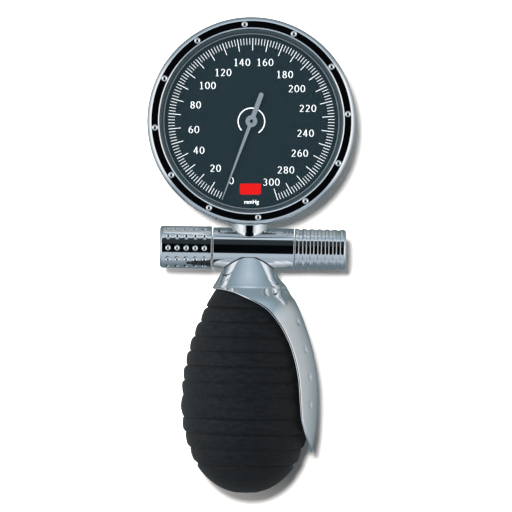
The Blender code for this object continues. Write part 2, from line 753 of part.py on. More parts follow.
def make_release_valve():
    knob_end = KNOB_LEFT + 5.0
    rounding = 1.0
    knob = [
        (0, KNOB_LEFT),
        (KNOB_R - rounding, KNOB_LEFT),
        *arc((KNOB_R - rounding, KNOB_LEFT + rounding), rounding, -60, 0, 2),
        (KNOB_R, KNOB_RIGHT),
        (VALVE_BORE_R, KNOB_RIGHT),
        (VALVE_BORE_R, knob_end),
        (0, knob_end),
    ]
    sleeve = turned("valve_knob", knob, "chrome", along_tube(KNOB_PHASE - 180 / KNOB_SIDES), KNOB_SIDES)
    places = []
    flat = KNOB_R * math.cos(math.pi / KNOB_SIDES)
    for row in range(KNOB_ROWS):
        for column in range(KNOB_COLUMNS):
            spin = Matrix.Rotation(math.radians(360 / KNOB_ROWS * row + KNOB_PHASE), 4, "X")
            x = KNOB_LEFT + KNOB_FIRST + KNOB_PITCH * column
            axis = Matrix.Translation((0, TUBE_Y, TUBE_Z))
            places.append(axis @ spin @ Matrix.Translation((x, 0, flat)))
    carve(sleeve, dimples("knob_dimples", places, KNOB_DIMPLE_R, KNOB_DIMPLE_DEPTH))

    thread_r = VALVE_BORE_R - GAP
    screw_tip = SEAT_X - 5.5
    screw = [(0, screw_tip), (thread_r - 0.4, screw_tip)]
    groove = screw_tip - 1.8
    screw += [(thread_r, screw_tip - 0.4), (thread_r, groove), (2.1, groove), (2.1, groove - 1.1)]
    screw += [(thread_r, groove - 1.1), (thread_r, knob_end + GAP), (0, knob_end + GAP)]
    turned("valve_screw", screw, "steel", along_tube(), SMALL)
    ring = arc((2.75, groove - 0.55), 0.42, 0, 315, 7)
    turned("valve_o_ring", ring, "rubber", along_tube(), SMALL)
    face = SEAT_X - 2.3
    needle = [
        (0, SEAT_X - 0.2),
        (0.5, SEAT_X - 0.2),
        (0.85, face),
        (1.5, face - 0.4),
        (1.5, screw_tip + GAP),
        (0, screw_tip + GAP),
    ]
    turned("valve_needle", needle, "steel", along_tube(), SMALL)
    seat = [(1.0, face), (thread_r, face), (thread_r, SEAT_X - GAP), (1.0, SEAT_X - GAP)]
    turned("valve_seat", seat, "brass", along_tube(), SMALL)


def make_hose_socket():
    left = BODY_RIGHT + GAP
    floor = left + 3.4
    profile = [(TUBE_R - 0.2, left), (TUBE_R, left + 0.2)]
    rib = SOCKET_RIB_PITCH / 2
    deep = TUBE_R - SOCKET_RIB_DEPTH
    for i in range(SOCKET_RIBS):
        start = left + 0.2 + SOCKET_RIB_PITCH * i
        profile += [(TUBE_R, start + rib - 0.2), (deep, start + rib), (deep, start + 2 * rib - 0.2)]
        profile.append((TUBE_R, start + 2 * rib))
    profile += arc((TUBE_R - 1.0, SOCKET_RIGHT - 1.0), 1.0, 0, 70, 2)
    profile += [(TUBE_R - 1.0, SOCKET_RIGHT), (SOCKET_BORE_R, SOCKET_RIGHT), (SOCKET_BORE_R, floor)]
    profile += [(HOSE_BORE_R + GAP, floor), (HOSE_BORE_R + GAP, left)]
    turned("hose_sleeve", profile, "chrome", along_tube())

    pipe = HOSE_BORE_R - GAP
    nipple = [(1.2, 5.0), (pipe, 5.0), (pipe, floor + 0.8)]
    for i in range(3):
        start = floor + 0.8 + 2.6 * i
        nipple += [(pipe + 0.7, start), (pipe - 0.1, start + 2.5)]
    nipple.append((1.2, floor + 8.6))
    turned("hose_nipple", nipple, "steel", along_tube(), SMALL)


def spoon_rows():
    """Rows of (distance, radius, half angle) of the open spoon, from the cap's corner to the tip."""
    halves = [*range(165, 59, -15), 51.0, 45.5, 43.5, 41.0, 36.0, 28.0, 18.0, 6.0]
    rows = []
    for half in halves:
        distance = smooth(SPOON_EDGE, half)
        rows.append((distance, smooth(SPOON_OUTLINE, distance), half))
    return rows


def make_spoon():
    """The cap is closed all round; below its left corner the shell narrows to a spoon on the +X side."""
    columns = 16
    points = []

    def ring(distance, radius):
        """A closed row, whose last column is its first."""
        first = len(points)
        for j in range(columns):
            angle = math.radians(-180 + 360 * j / columns)
            points.append((radius * math.cos(angle), radius * math.sin(angle), distance))
        return [*range(first, first + columns), first]

    def strip(distance, radius, half):
        first = len(points)
        for j in range(columns + 1):
            angle = math.radians(half * (2 * j / columns - 1))
            points.append((radius * math.cos(angle), radius * math.sin(angle), distance))
        return list(range(first, first + columns + 1))

    outer = [ring(s, r) for s, r in CAP_OUTLINE]
    open_from = len(outer) - 1
    roof = 8.3
    cavity = [roof, 10.2, 12.0, CAP_CORNER]
    inner = [ring(CAP_OUTLINE[0][0], CAP_BORE_R), ring(roof - GAP, CAP_BORE_R)]
    inner += [ring(s, smooth(CAP_OUTLINE, s) - SPOON_WALL) for s in cavity]
    inner_from = len(inner) - 1
    for distance, radius, half in spoon_rows():
        outer.append(strip(distance, radius, half))
        inner.append(strip(distance, radius - SPOON_WALL, half))

    faces = []
    for rows in (outer, inner):
        for low, high in zip(rows, rows[1:]):
            faces += [(low[j], low[j + 1], high[j + 1], high[j]) for j in range(columns)]
    for out_row, in_row in ((outer[0], inner[0]), (outer[-1], inner[-1])):
        faces += [(out_row[j], out_row[j + 1], in_row[j + 1], in_row[j]) for j in range(columns)]
    outer_open, inner_open = outer[open_from:], inner[inner_from:]
    for side in (0, columns):
        for i in range(len(outer_open) - 1):
            near_out, far_out = outer_open[i][side], outer_open[i + 1][side]
            near_in, far_in = inner_open[i][side], inner_open[i + 1][side]
            faces.append((near_out, far_out, far_in, near_in))
    spoon = solid("grip_spoon", points, faces, "chrome", down_bulb())
    carve(spoon, tube_cutter("cap_saddle"))


def make_bulb():
    """A hollow ribbed bulb, open at its neck and at its inlet end."""
    creases = UPPER_CREASES + LOWER_CREASES
    outer = [(BULB_HOLE_R, BULB_TOP), (8.2, BULB_TOP + 0.3), (10.2, 12.2)]
    outer.append(BULB_OUTLINE[0][::-1])
    outer.append((smooth(BULB_OUTLINE, 17.0), 17.0))
    for low, high in zip(creases, creases[1:] + [None]):
        outer.append((smooth(BULB_OUTLINE, low) - CREASE_DEPTH, low))
        if high is not None:
            middle = (low + high) / 2
            outer.append((smooth(BULB_OUTLINE, middle), middle))
    outer += [(smooth(BULB_OUTLINE, s), s) for s in (76.2, 79.4, 82.3, 83.8, TUBE_TO_BULB_END)]
    inner = [(BULB_HOLE_R, TUBE_TO_BULB_END), (BULB_HOLE_R, TUBE_TO_BULB_END - 2.6)]
    for s in (79.5, 72.0, 58.0, 42.0, 28.0, 17.0):
        inner.append((smooth(BULB_OUTLINE, s) - BULB_WALL - CREASE_DEPTH, s))
    inner.append((BULB_HOLE_R, BULB_TOP + 2.4))
    turned("bulb", outer + inner, "rubber", down_bulb(), BULB_SIDES)


def valve_body(name, profile):
    turned(name, profile, "steel", down_bulb(), SMALL)


def retainer(name, top):
    outer_r, low = VALVE_CHAMBER_R - 0.2, top + 0.7
    ring = [(1.0, top), (outer_r, top), (outer_r, low), (1.0, low)]
    turned(name, ring, "brass", down_bulb(), 14)


def ball(name, distance):
    """A ball turned from a half circle."""
    half = arc((0, distance), BALL_R, -90, 90, 6)
    half[0] = (0, half[0][1])
    half[-1] = (0, half[-1][1])
    turned(name, half, "steel", down_bulb(), 12)


def make_check_valves():
    """The outlet's ball lifts towards the tube, and the inlet's into the bulb."""
    seat = 14.5
    outlet = [
        (VALVE_CHAMBER_R, HOSE_BORE_R + GAP),
        (VALVE_R, HOSE_BORE_R + GAP),
        (VALVE_R, 10.0),
        (VALVE_R - 0.4, 10.3),
        (VALVE_R + 0.1, 12.6),
        (VALVE_R - 0.4, 12.9),
        (VALVE_R + 0.1, 15.2),
        (VALVE_R - 0.6, 16.8),
        (VALVE_PORT_R, 16.8),
        (VALVE_PORT_R, seat),
        (VALVE_CHAMBER_R, seat),
    ]
    valve_body("outlet_valve_body", outlet)
    ball("outlet_ball", seat - BALL_REST)
    retainer("outlet_retainer", 8.8)

    seat = 81.0
    inlet = [
        (VALVE_CHAMBER_R, 74.8),
        (VALVE_R - 0.2, 74.8),
        (VALVE_R + 0.9, 75.3),
        (VALVE_R + 0.9, 78.0),
        (VALVE_R, 79.4),
        (VALVE_R, TUBE_TO_BULB_END - 0.6),
        (VALVE_CHAMBER_R + 0.3, TUBE_TO_BULB_END - 0.6),
        (VALVE_CHAMBER_R + 0.3, 82.4),
        (VALVE_PORT_R, 82.4),
        (VALVE_PORT_R, seat),
        (VALVE_CHAMBER_R, seat),
    ]
    valve_body("inlet_valve_body", inlet)
    ball("inlet_ball", seat - BALL_REST)
    retainer("inlet_retainer", 75.2)
    screen = prism("dust_screen", circle(VALVE_CHAMBER_R, 14), 82.7, 83.0, "steel", down_bulb())
    for i in range(5):
        angle = 2 * math.pi * i / 5
        offset = Matrix.Translation((1.35 * math.cos(angle), 1.35 * math.sin(angle), 0))
        drill(screen, 0.5, 82.0, 84.0, down_bulb() @ offset, 6)


def main():
    clear_scene()
    make_case()
    make_bezel()
    make_dial_stack()
    make_pointer()
    make_arbor()
    make_sector()
    make_hairspring()
    make_rocker()
    make_capsule()
    make_stem(make_plates())
    make_neck()
    make_tube_body()
    make_release_valve()
    make_hose_socket()
    make_spoon()
    make_bulb()
    make_check_valves()


main()
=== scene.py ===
"""The looks of a palm-type sphygmomanometer: chrome, dial, print, bulb, floor, light and camera.

Everything is placed from the frame's nodes. Sizes are in millimetres and degrees, and meshes are made in
metres.
"""

import json
import math

import bmesh
import bpy
import numpy as np
from mathutils import Matrix, Vector


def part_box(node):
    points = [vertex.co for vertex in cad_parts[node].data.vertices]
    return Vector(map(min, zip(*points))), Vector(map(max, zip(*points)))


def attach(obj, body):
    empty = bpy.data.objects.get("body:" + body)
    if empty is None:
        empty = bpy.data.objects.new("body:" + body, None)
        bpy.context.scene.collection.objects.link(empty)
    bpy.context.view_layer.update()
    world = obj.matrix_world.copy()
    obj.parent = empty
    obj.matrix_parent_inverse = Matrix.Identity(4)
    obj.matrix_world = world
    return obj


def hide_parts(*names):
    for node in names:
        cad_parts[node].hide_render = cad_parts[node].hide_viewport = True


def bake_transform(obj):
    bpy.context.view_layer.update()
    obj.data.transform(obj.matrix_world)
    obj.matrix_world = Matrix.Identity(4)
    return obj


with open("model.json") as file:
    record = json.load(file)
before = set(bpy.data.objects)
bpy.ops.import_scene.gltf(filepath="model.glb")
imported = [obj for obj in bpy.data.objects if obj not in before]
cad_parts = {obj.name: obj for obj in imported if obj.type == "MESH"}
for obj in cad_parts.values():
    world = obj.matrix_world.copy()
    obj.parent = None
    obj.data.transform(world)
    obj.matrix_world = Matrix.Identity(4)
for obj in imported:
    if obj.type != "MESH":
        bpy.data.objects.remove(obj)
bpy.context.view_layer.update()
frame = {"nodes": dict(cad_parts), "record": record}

MM = 0.001


def node_box(node):
    """A node's lowest and highest corners in millimetres."""
    low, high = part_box(node)
    return np.array(low) / MM, np.array(high) / MM


# Places and levels taken from the frame
BEZEL_LOW, BEZEL_HIGH = node_box("bezel_ring")
CASE_LOW, CASE_HIGH = node_box("gauge_case")
GLASS_BOX = node_box("gauge_glass")
GASKET_BOX = node_box("glass_gasket")
TRIM_BOX = node_box("trim_ring")
DIAL_BOX = node_box("dial_plate")
TUBE_LOW, TUBE_HIGH = node_box("tube_body")
NECK_LOW, NECK_HIGH = node_box("neck_collar")
KNOB_LOW, KNOB_HIGH = node_box("valve_knob")
SLEEVE_LOW, SLEEVE_HIGH = node_box("hose_sleeve")
NIPPLE_LOW, NIPPLE_HIGH = node_box("hose_nipple")
BULB_LOW = node_box("bulb")[0]

DIAL_Y = (BEZEL_LOW[1] + BEZEL_HIGH[1]) / 2
BEZEL_R = (BEZEL_HIGH[0] - BEZEL_LOW[0]) / 2
BEZEL_TOP = BEZEL_HIGH[2]
BEZEL_FOOT = BEZEL_LOW[2]
CASE_R = (CASE_HIGH[0] - CASE_LOW[0]) / 2
GLASS_R = (GLASS_BOX[1][0] - GLASS_BOX[0][0]) / 2
DIAL_TOP = DIAL_BOX[1][2]
TUBE_Y = (TUBE_LOW[1] + TUBE_HIGH[1]) / 2
TUBE_Z = (TUBE_LOW[2] + TUBE_HIGH[2]) / 2
TUBE_R = (TUBE_HIGH[2] - TUBE_LOW[2]) / 2
KNOB_R = (KNOB_HIGH[2] - KNOB_LOW[2]) / 2
BULB_END = TUBE_Y - BULB_LOW[1]

# Gauge case
CASE_WALL = 1.6
CASE_CORNER_R = 4.0
CASE_HOLLOW_R = 2.8

# Bezel: a lip, a flat ring with hollows, and a rim that rolls over by (share of its width, drop)
LIP_R = 31.74
LIP_DROP = 0.19
RING_INNER = 32.14
RING_OUTER = 34.45
RIM_PROUD = 0.1
RIM_ROLL = ((0.2, 0.145), (0.4, 0.31), (0.62, 0.65), (0.8, 1.15), (0.93, 1.9), (1.0, 3.1))
RING_CELLS = 72
DIMPLE_EVERY = 6
DIMPLE_PHASE = 5.0
DIMPLE_R = 1.02
DIMPLE_DEPTH = 0.4

# Release valve knob: rows of hollows round it, columns along it
KNOB_ROWS = 12
KNOB_COLUMNS = 5
KNOB_PITCH = 3.13
KNOB_FIRST = 3.0
KNOB_PHASE = 2.6
KNOB_DIMPLE_R = 0.93
KNOB_DIMPLE_DEPTH = 0.42

# Cells with hollows: steps along a cell's side, and a hollow's rings as shares of its radius
CELL_STEPS = 8
DIMPLE_SHARES = (1.03, 1.0, 0.93, 0.82, 0.68, 0.52, 0.35, 0.17)

# Hose sleeve, and the barbed nipple in it
RIBS = 6
RIB_PITCH = 2.6
RIB_DEPTH = 0.3
SOCKET_FLOOR = 3.4
SOCKET_BORE_R = 4.9
SOCKET_HOLE_R = 2.9
BARBS = 3
BARB_PITCH = 2.6
NIPPLE_BORE_R = 1.2
NIPPLE_R = 2.3

TUBE_BORE_R = 3.4

# Neck: a slight cone that runs a little into the case
NECK_BORE_R = 2.6
NECK_TAPER = 0.5
NECK_REACH = 0.5

# Wall round the dial: its outside, its groove and its foot
TRIM_R = (TRIM_BOX[1][0] - TRIM_BOX[0][0]) / 2
GROOVE_R = 31.05
STEP_R = 30.35

# Scale, clockwise from zero, with radii from the dial's centre
SWEEP = 321.0
ZERO_ANGLE = 270.0 - (360.0 - SWEEP) / 2
FULL_SCALE = 300
TICK_OUTER = 28.75
TICK_INNER = 26.5
TICK_INNER_MAJOR = 24.5
TICK_WIDTH = 0.145
TICK_WIDTH_MAJOR = 0.19
PRINT_RISE = 0.03
ARC_R = 4.6
ARC_HALF = 0.17
ARC_ENDS = (222, -58)
DIGIT_HEIGHT = 2.5
DIGIT_WIDTH = 1.8
DIGIT_ADVANCE = 2.06
DIGIT_THICK = 0.28
DIGIT_THIN = 0.14
LABEL_PLACES = {
    0: (-6.9, -20.5),
    20: (-12.4, -16.2),
    40: (-18.1, -10.0),
    60: (-19.9, -2.8),
    80: (-19.3, 5.7),
    100: (-15.2, 12.4),
    120: (-9.8, 16.9),
    140: (-3.3, 20.4),
    160: (4.7, 20.4),
    180: (11.5, 16.2),
    200: (15.7, 11.3),
    220: (19.5, 4.5),
    240: (18.7, -4.1),
    260: (16.7, -11.0),
    280: (11.9, -16.8),
    300: (6.9, -21.0),
}
PRINT_TURN = 1.0

# Red lozenge and unit on the dial
BADGE_HALF_X = 3.65
BADGE_HALF_Y = 1.9
BADGE_CORNER_R = 0.7
BADGE_PLACE = (-0.35, -23.4)
UNIT_PLACE = (0.0, -27.9)
UNIT_SIZE = 1.9

# Pointer
POINTER_LOW, POINTER_HIGH = 28.1, 28.7
POINTER_TIP = 29.0
POINTER_TIP_HALF = 0.16
POINTER_ROOT_HALF = 0.6
POINTER_TAIL = 10.5
POINTER_TAIL_HALF = 0.82
POINTER_END_R = 1.0
POINTER_HUB_R = 2.05

# Spoon and its cap. Outlines are (distance below the tube's axis, radius), and the open edge is (half angle
# from the spoon's middle, distance)
CAP_CORNER = 13.8
CAP_BORE_R = 3.8
CAP_ROOF = 8.3
SPOON_TIP = 69.8
SPOON_WALL = 1.1
SPOON_COLUMNS = 128
SPOON_ROWS = 230
CAP_ROWS = 45
CAP_OUTLINE = (
    (3.4, 6.56),
    (7.5, 8.9),
    (12.5, 11.75),
    (13.2, 12.2),
    (CAP_CORNER, 12.5),
)
SPOON_OUTLINE = (
    (CAP_CORNER, 12.5),
    (18.4, 16.5),
    (25.3, 19.5),
    (32.2, 21.9),
    (39.1, 23.6),
    (46.0, 24.6),
    (53.0, 24.8),
    (60.0, 24.6),
    (66.7, 23.8),
    (SPOON_TIP, 23.2),
)
SPOON_EDGE = (
    (1.0, SPOON_TIP + 0.2),
    (6.0, SPOON_TIP),
    (14.0, 68.7),
    (28.0, 65.1),
    (39.0, 59.0),
    (42.0, 53.0),
    (43.5, 46.0),
    (45.5, 39.0),
    (49.5, 32.0),
    (58.0, 25.3),
    (72.0, 20.1),
    (93.0, 17.0),
    (117.0, 14.9),
    (142.0, 14.1),
    (180.0, CAP_CORNER),
)
EDGE_INSET = 2.3
# Radius of the dark bead along the cap's joint, a painted gap shadow
GAP_SHADOW_R = 0.28

# Finger dimples in the spoon, as (angle, distance)
SPOON_DIMPLES = [(side, s) for side in (-27.0, 27.0) for s in (25.2, 34.7, 44.1, 53.5)]
SPOON_DIMPLE_R = 1.7
SPOON_DIMPLE_DEPTH = 0.4

# The cap's flare into the spoon: how far it goes out, where it is most, and how far it reaches either way
FLARE = 1.0
FLARE_PLACE = 13.4
FLARE_SPAN = 3.6

# Bulb: (distance below the tube's axis, radius), and the creases between its rings
BULB_TOP = 10.6
BULB_HOLE_R = 3.9
BULB_WALL = 2.2
BULB_STEP = 0.22
RINGS_END = 79.4
BULB_OUTLINE = (
    (13.9, 11.0),
    (18.4, 13.7),
    (24.6, 16.6),
    (30.8, 19.1),
    (37.0, 20.9),
    (46.0, 22.4),
    (54.8, 22.8),
    (62.0, 22.0),
    (70.0, 19.6),
    (75.0, 17.2),
    (79.4, 13.7),
    (82.3, 10.0),
    (83.8, 7.0),
    (84.6, 4.4),
)
CREASE_DEPTH = 0.95
RING_STEP = 0.28
RING_FALL = 0.65
LAST_RING_FADE = 1.3
UPPER_CREASES = [50.9 - 5.08 * i for i in range(7)][::-1]
LOWER_CREASES = [58.8 + 5.35 * i for i in range(4)]

# Floor
FLOOR_REACH = 1500.0
FLOOR_GAP = 0.05

# Colours of the studio's sides by height, from straight down (-1) to overhead (1), in display values
FAR_SIDE = [
    (-1.0, (95, 110, 112)),
    (-0.2, (128, 140, 142)),
    (0.05, (131, 148, 158)),
    (0.3, (148, 166, 179)),
    (0.5, (172, 187, 198)),
    (0.62, (216, 226, 234)),
    (0.66, (44, 54, 57)),
    (0.94, (42, 48, 51)),
    (0.955, (8, 9, 11)),
    (1.0, (6, 7, 9)),
]
FLANKS = [
    (-1.0, (115, 128, 135)),
    (-0.8, (140, 150, 155)),
    (-0.4, (172, 178, 180)),
    (-0.05, (184, 190, 193)),
    (0.12, (200, 206, 209)),
    (0.32, (240, 243, 246)),
    (0.84, (255, 255, 255)),
    (0.87, (20, 24, 26)),
    (0.95, (44, 52, 54)),
    (1.0, (6, 7, 9)),
]
NEAR_SIDE = [
    (-1.0, (98, 114, 122)),
    (-0.35, (106, 121, 129)),
    (0.0, (130, 143, 152)),
    (0.3, (176, 187, 196)),
    (0.45, (154, 169, 182)),
    (0.62, (172, 184, 194)),
    (0.84, (176, 188, 198)),
    (0.868, (8, 9, 11)),
    (1.0, (6, 7, 9)),
]

# The near side passes into the far side over this share each way, and into a flank where a direction's
# sideways share passes its lengthwise share by this much
SIDE_BLEND = 0.35
FLANK_BLEND = (0.1, 0.4)
MIRRORED_STRENGTH = 1.15
DIFFUSE_STRENGTH = 0.34

# Lights
KEY_PLACE = (-62.0, 96.0, 780.0)
KEY_SIZE = 125.0
KEY_ENERGY = 12.9
FILL_DIRECTION = (0.5, -0.45, -0.8)
FILL_ENERGY = 1.5
FILL_ANGLE = 75

# Camera: straight overhead, with the view's width at the dial's level
CAMERA_LEVEL = 30.0
CAMERA_DISTANCE = 1200.0
CAMERA_SHIFT = (2.4, -0.26)
CAMERA_TURN = 1.0
VIEW_WIDTH = 176.6
SENSOR_WIDTH = 36.0


# ---- materials


def new_material(name):
    material = bpy.data.materials.new(name)
    material.use_nodes = True
    tree = material.node_tree
    return material, tree, tree.nodes["Principled BSDF"]


def add(tree, kind, **values):
    """Add a node, setting its properties and its inputs by name."""
    node = tree.nodes.new(kind)
    for key, value in values.items():
        if key in node.inputs:
            node.inputs[key].default_value = value
        else:
            setattr(node, key, value)
    return node


def coordinates(tree, scale=(1.0, 1.0, 1.0)):
    """Object coordinates, stretched."""
    place = add(tree, "ShaderNodeTexCoord")
    stretch = add(tree, "ShaderNodeMapping")
    stretch.inputs["Scale"].default_value = scale
    tree.links.new(place.outputs["Object"], stretch.inputs["Vector"])
    return stretch.outputs["Vector"]


def noise(tree, vector, scale, detail=3.0):
    node = add(tree, "ShaderNodeTexNoise", Scale=scale, Detail=detail)
    tree.links.new(vector, node.inputs["Vector"])
    return node.outputs["Fac"]


def spread(tree, value, low, high, start=0.3, end=0.7):
    """Map a texture's value to a range."""
    node = add(tree, "ShaderNodeMapRange")
    for key, number in (("From Min", start), ("From Max", end), ("To Min", low), ("To Max", high)):
        node.inputs[key].default_value = number
    tree.links.new(value, node.inputs["Value"])
    return node.outputs["Result"]


def tint(tree, value, dark, light):
    """A colour between two, by a texture's value."""
    ramp = add(tree, "ShaderNodeValToRGB")
    ramp.color_ramp.elements[0].position = 0.3
    ramp.color_ramp.elements[1].position = 0.7
    ramp.color_ramp.elements[0].color = (*dark, 1.0)
    ramp.color_ramp.elements[1].color = (*light, 1.0)
    tree.links.new(value, ramp.inputs["Fac"])
    return ramp.outputs["Color"]


def bump(tree, shader, height, distance, strength):
    node = add(tree, "ShaderNodeBump", Strength=strength, Distance=distance)
    tree.links.new(height, node.inputs["Height"])
    tree.links.new(node.outputs["Normal"], shader.inputs["Normal"])


def metal(name, dark, light, rough, grain=(1.0, 1.0, 1.0), grain_scale=900.0, bump_mm=0.0):
    """Metal with cloudy tone, uneven polish and, where it is machined, a directional grain."""
    material, tree, shader = new_material(name)
    shader.inputs["Metallic"].default_value = 1.0
    clouds = noise(tree, coordinates(tree), 60.0)
    tree.links.new(tint(tree, clouds, dark, light), shader.inputs["Base Color"])
    lines = noise(tree, coordinates(tree, grain), grain_scale, 4.0)
    tree.links.new(spread(tree, lines, *rough), shader.inputs["Roughness"])
    if bump_mm:
        bump(tree, shader, lines, bump_mm * MM, 0.4)
    return material


def make_rubber(name, dark, light, rough, grain_scale, bump_mm, fade=1.0):
    """Moulded rubber: a matt grain, mottled along the rings, with painted light: lighter on its left, darker
    to the right.
    """
    material, tree, shader = new_material(name)
    mottle = noise(tree, coordinates(tree, (0.35, 1.0, 1.0)), 900.0, 5.0)
    plain = coordinates(tree)
    split = add(tree, "ShaderNodeSeparateXYZ")
    tree.links.new(plain, split.inputs["Vector"])
    # Painted light: the colour is 1.25 times brighter on the left (-X) and scaled by fade on the right,
    # standing in for light from the left
    painted_side_light = add(tree, "ShaderNodeVectorMath", operation="SCALE")
    tree.links.new(tint(tree, mottle, dark, light), painted_side_light.inputs[0])
    tree.links.new(spread(tree, split.outputs["X"], 1.25, fade, -0.02, 0.02), painted_side_light.inputs["Scale"])
    tree.links.new(painted_side_light.outputs[0], shader.inputs["Base Color"])
    grain = noise(tree, plain, grain_scale, 2.0)
    tree.links.new(spread(tree, grain, *rough), shader.inputs["Roughness"])
    bump(tree, shader, grain, bump_mm * MM, 0.6)
    shader.inputs["Specular IOR Level"].default_value = 0.18
    shader.inputs["Sheen Weight"].default_value = 0.015
    shader.inputs["Sheen Roughness"].default_value = 0.5
    return material


def paint(name, dark, light, rough):
    """Printed or painted matt surface with a fine tooth."""
    material, tree, shader = new_material(name)
    grain = noise(tree, coordinates(tree), 3000.0, 2.0)
    tree.links.new(tint(tree, grain, dark, light), shader.inputs["Base Color"])
    tree.links.new(spread(tree, grain, *rough), shader.inputs["Roughness"])
    bump(tree, shader, grain, 0.01 * MM, 0.5)
    return material


def make_glass():
    """Thin clear glass: it mirrors more as it slants, alike on both faces, and lets the rest through."""
    material, tree, shader = new_material("clear_glass")
    shader.inputs["Metallic"].default_value = 1.0
    shader.inputs["Base Color"].default_value = (0.97, 0.99, 1.0, 1.0)
    smears = noise(tree, coordinates(tree), 120.0, 4.0)
    tree.links.new(spread(tree, smears, 0.01, 0.04), shader.inputs["Roughness"])
    slant = add(tree, "ShaderNodeLayerWeight", Blend=0.5)
    rise = add(tree, "ShaderNodeMath", operation="POWER")
    tree.links.new(slant.outputs["Facing"], rise.inputs[0])
    rise.inputs[1].default_value = 5.0
    tree.links.new(spread(tree, rise.outputs[0], 0.034, 1.0, 0.0, 1.0), shader.inputs["Alpha"])
    return material


CHROME = metal("polished_chrome", (0.80, 0.82, 0.84), (0.86, 0.875, 0.89), (0.035, 0.07))
SATIN = metal("satin_steel", (0.46, 0.47, 0.48), (0.58, 0.59, 0.60), (0.2, 0.34), (1.0, 1.0, 9.0))
BRASS = metal("turned_brass", (0.62, 0.43, 0.19), (0.78, 0.58, 0.30), (0.18, 0.34), (1.0, 7.0, 1.0), 700.0,
              0.01)
BRONZE = metal("spring_bronze", (0.50, 0.31, 0.17), (0.66, 0.45, 0.27), (0.22, 0.36), bump_mm=0.01)
# The bulb's painted light: fade 0.4 darkens its right side as shade from a light on the left
RUBBER = make_rubber("black_rubber", (0.0026, 0.0033, 0.0039), (0.0060, 0.0072, 0.0082), (0.5, 0.72), 2600.0,
                     0.12, 0.4)
SEAL = make_rubber("seal_rubber", (0.010, 0.010, 0.011), (0.02, 0.02, 0.021), (0.4, 0.6), 1500.0, 0.02)
DIAL = paint("dial_slate", (0.0044, 0.0108, 0.0146), (0.0058, 0.0130, 0.0172), (0.5, 0.65))
TRIM = paint("trim_slate", (0.021, 0.034, 0.041), (0.032, 0.047, 0.055), (0.25, 0.4))
# Lighter paint for the wall's step: a painted highlight
STEP = paint("step_painted_highlight", (0.080, 0.098, 0.110), (0.098, 0.118, 0.130), (0.25, 0.4))
# Darker than the dial: paint for a painted shadow line where the wall meets it
SHADE = paint("painted_edge_shadow", (0.003, 0.006, 0.008), (0.005, 0.009, 0.011), (0.5, 0.6))
PRINT = paint("white_print", (0.66, 0.70, 0.72), (0.74, 0.78, 0.80), (0.55, 0.7))
RED = paint("red_print", (0.36, 0.0008, 0.0008), (0.40, 0.0014, 0.0014), (0.5, 0.6))
POINTER = paint("pointer_enamel", (0.106, 0.130, 0.150), (0.128, 0.154, 0.174), (0.3, 0.45))
GLASS = make_glass()


# ---- mesh tools


def upright(turn=0.0):
    """Local Z points up from under the dial's centre."""
    return Matrix.Translation((0.0, DIAL_Y, 0.0)) @ Matrix.Rotation(math.radians(turn), 4, "Z")


def along_tube():
    """Local Z runs along +X on the tube's axis, and local X points down."""
    return Matrix.Translation((0.0, TUBE_Y, TUBE_Z)) @ Matrix.Rotation(math.pi / 2, 4, "Y")


def down_bulb():
    """Local Z runs down the bulb, towards -Y, and local X stays +X."""
    return Matrix.Translation((0.0, TUBE_Y, TUBE_Z)) @ Matrix.Rotation(math.pi / 2, 4, "X")


def piece(name, points, faces, material, place=None, crease=30.0):
    """One mesh from points in millimetres, welded, with its faces out."""
    mesh = bpy.data.meshes.new(name)
    mesh.from_pydata([tuple(float(c) * MM for c in p) for p in points], [], faces)
    work = bmesh.new()
    work.from_mesh(mesh)
    bmesh.ops.remove_doubles(work, verts=work.verts, dist=0.002 * MM)
    bmesh.ops.recalc_face_normals(work, faces=work.faces)
    work.to_mesh(mesh)
    work.free()
    if place is not None:
        metres = place.copy()
        metres.translation = place.translation * MM
        mesh.transform(metres)
    mesh.shade_smooth()
    mesh.set_sharp_from_angle(angle=math.radians(crease))
    mesh.materials.append(material)
    item = bpy.data.objects.new(name, mesh)
    bpy.context.collection.objects.link(item)
    return item


def stands_for(item, body, slot, *nodes):
    """Ride on a body and hide the nodes it stands for. The slot is not used."""
    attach(item, body)
    if nodes:
        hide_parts(*nodes)


def smooth(points, at):
    """A curve through the points of an outline: cubic, with no overshoot."""
    xs = np.array([p[0] for p in points], float)
    ys = np.array([p[1] for p in points], float)
    slopes = np.diff(ys) / np.diff(xs)
    inner = [2 * a * b / (a + b) if a * b > 0 else 0.0 for a, b in zip(slopes, slopes[1:])]
    ends = [slopes[0], *inner, slopes[-1]]
    k = int(np.clip(np.searchsorted(xs, at) - 1, 0, len(xs) - 2))
    width = xs[k + 1] - xs[k]
    t = min(max((at - xs[k]) / width, 0.0), 1.0)
    rise = (2 * t**3 - 3 * t**2 + 1) * ys[k] + (3 * t**2 - 2 * t**3) * ys[k + 1]
    bend = (t**3 - 2 * t**2 + t) * width * ends[k] + (t**3 - t**2) * width * ends[k + 1]
    return float(rise + bend)


def arc(centre, radius, first, last, steps):
    """Points of a circle's arc between two angles."""
    angles = np.radians(np.linspace(first, last, steps + 1))
    return [(centre[0] + radius * math.cos(a), centre[1] + radius * math.sin(a)) for a in angles]


def turn_profile(profile, sides, start=0.0, closed=True):
    """Points and faces of an outline of (radius, height) turned about local Z."""
    points = []
    for radius, height in profile:
        for i in range(sides):
            angle = math.radians(start) + 2 * math.pi * i / sides
            points.append((radius * math.cos(angle), radius * math.sin(angle), height))
    rows = len(profile)
    faces = []
    for row in range(rows if closed else rows - 1):
        near, far = row * sides, (row + 1) % rows * sides
        for i in range(sides):
            j = (i + 1) % sides
            faces.append((near + i, near + j, far + j, far + i))
    return points, faces


def turned(name, profile, material, place, sides=160, closed=True):
    """A turned solid. A profile that starts and ends on the axis is left open there."""
    return piece(name, *turn_profile(profile, sides, closed=closed), material, place)


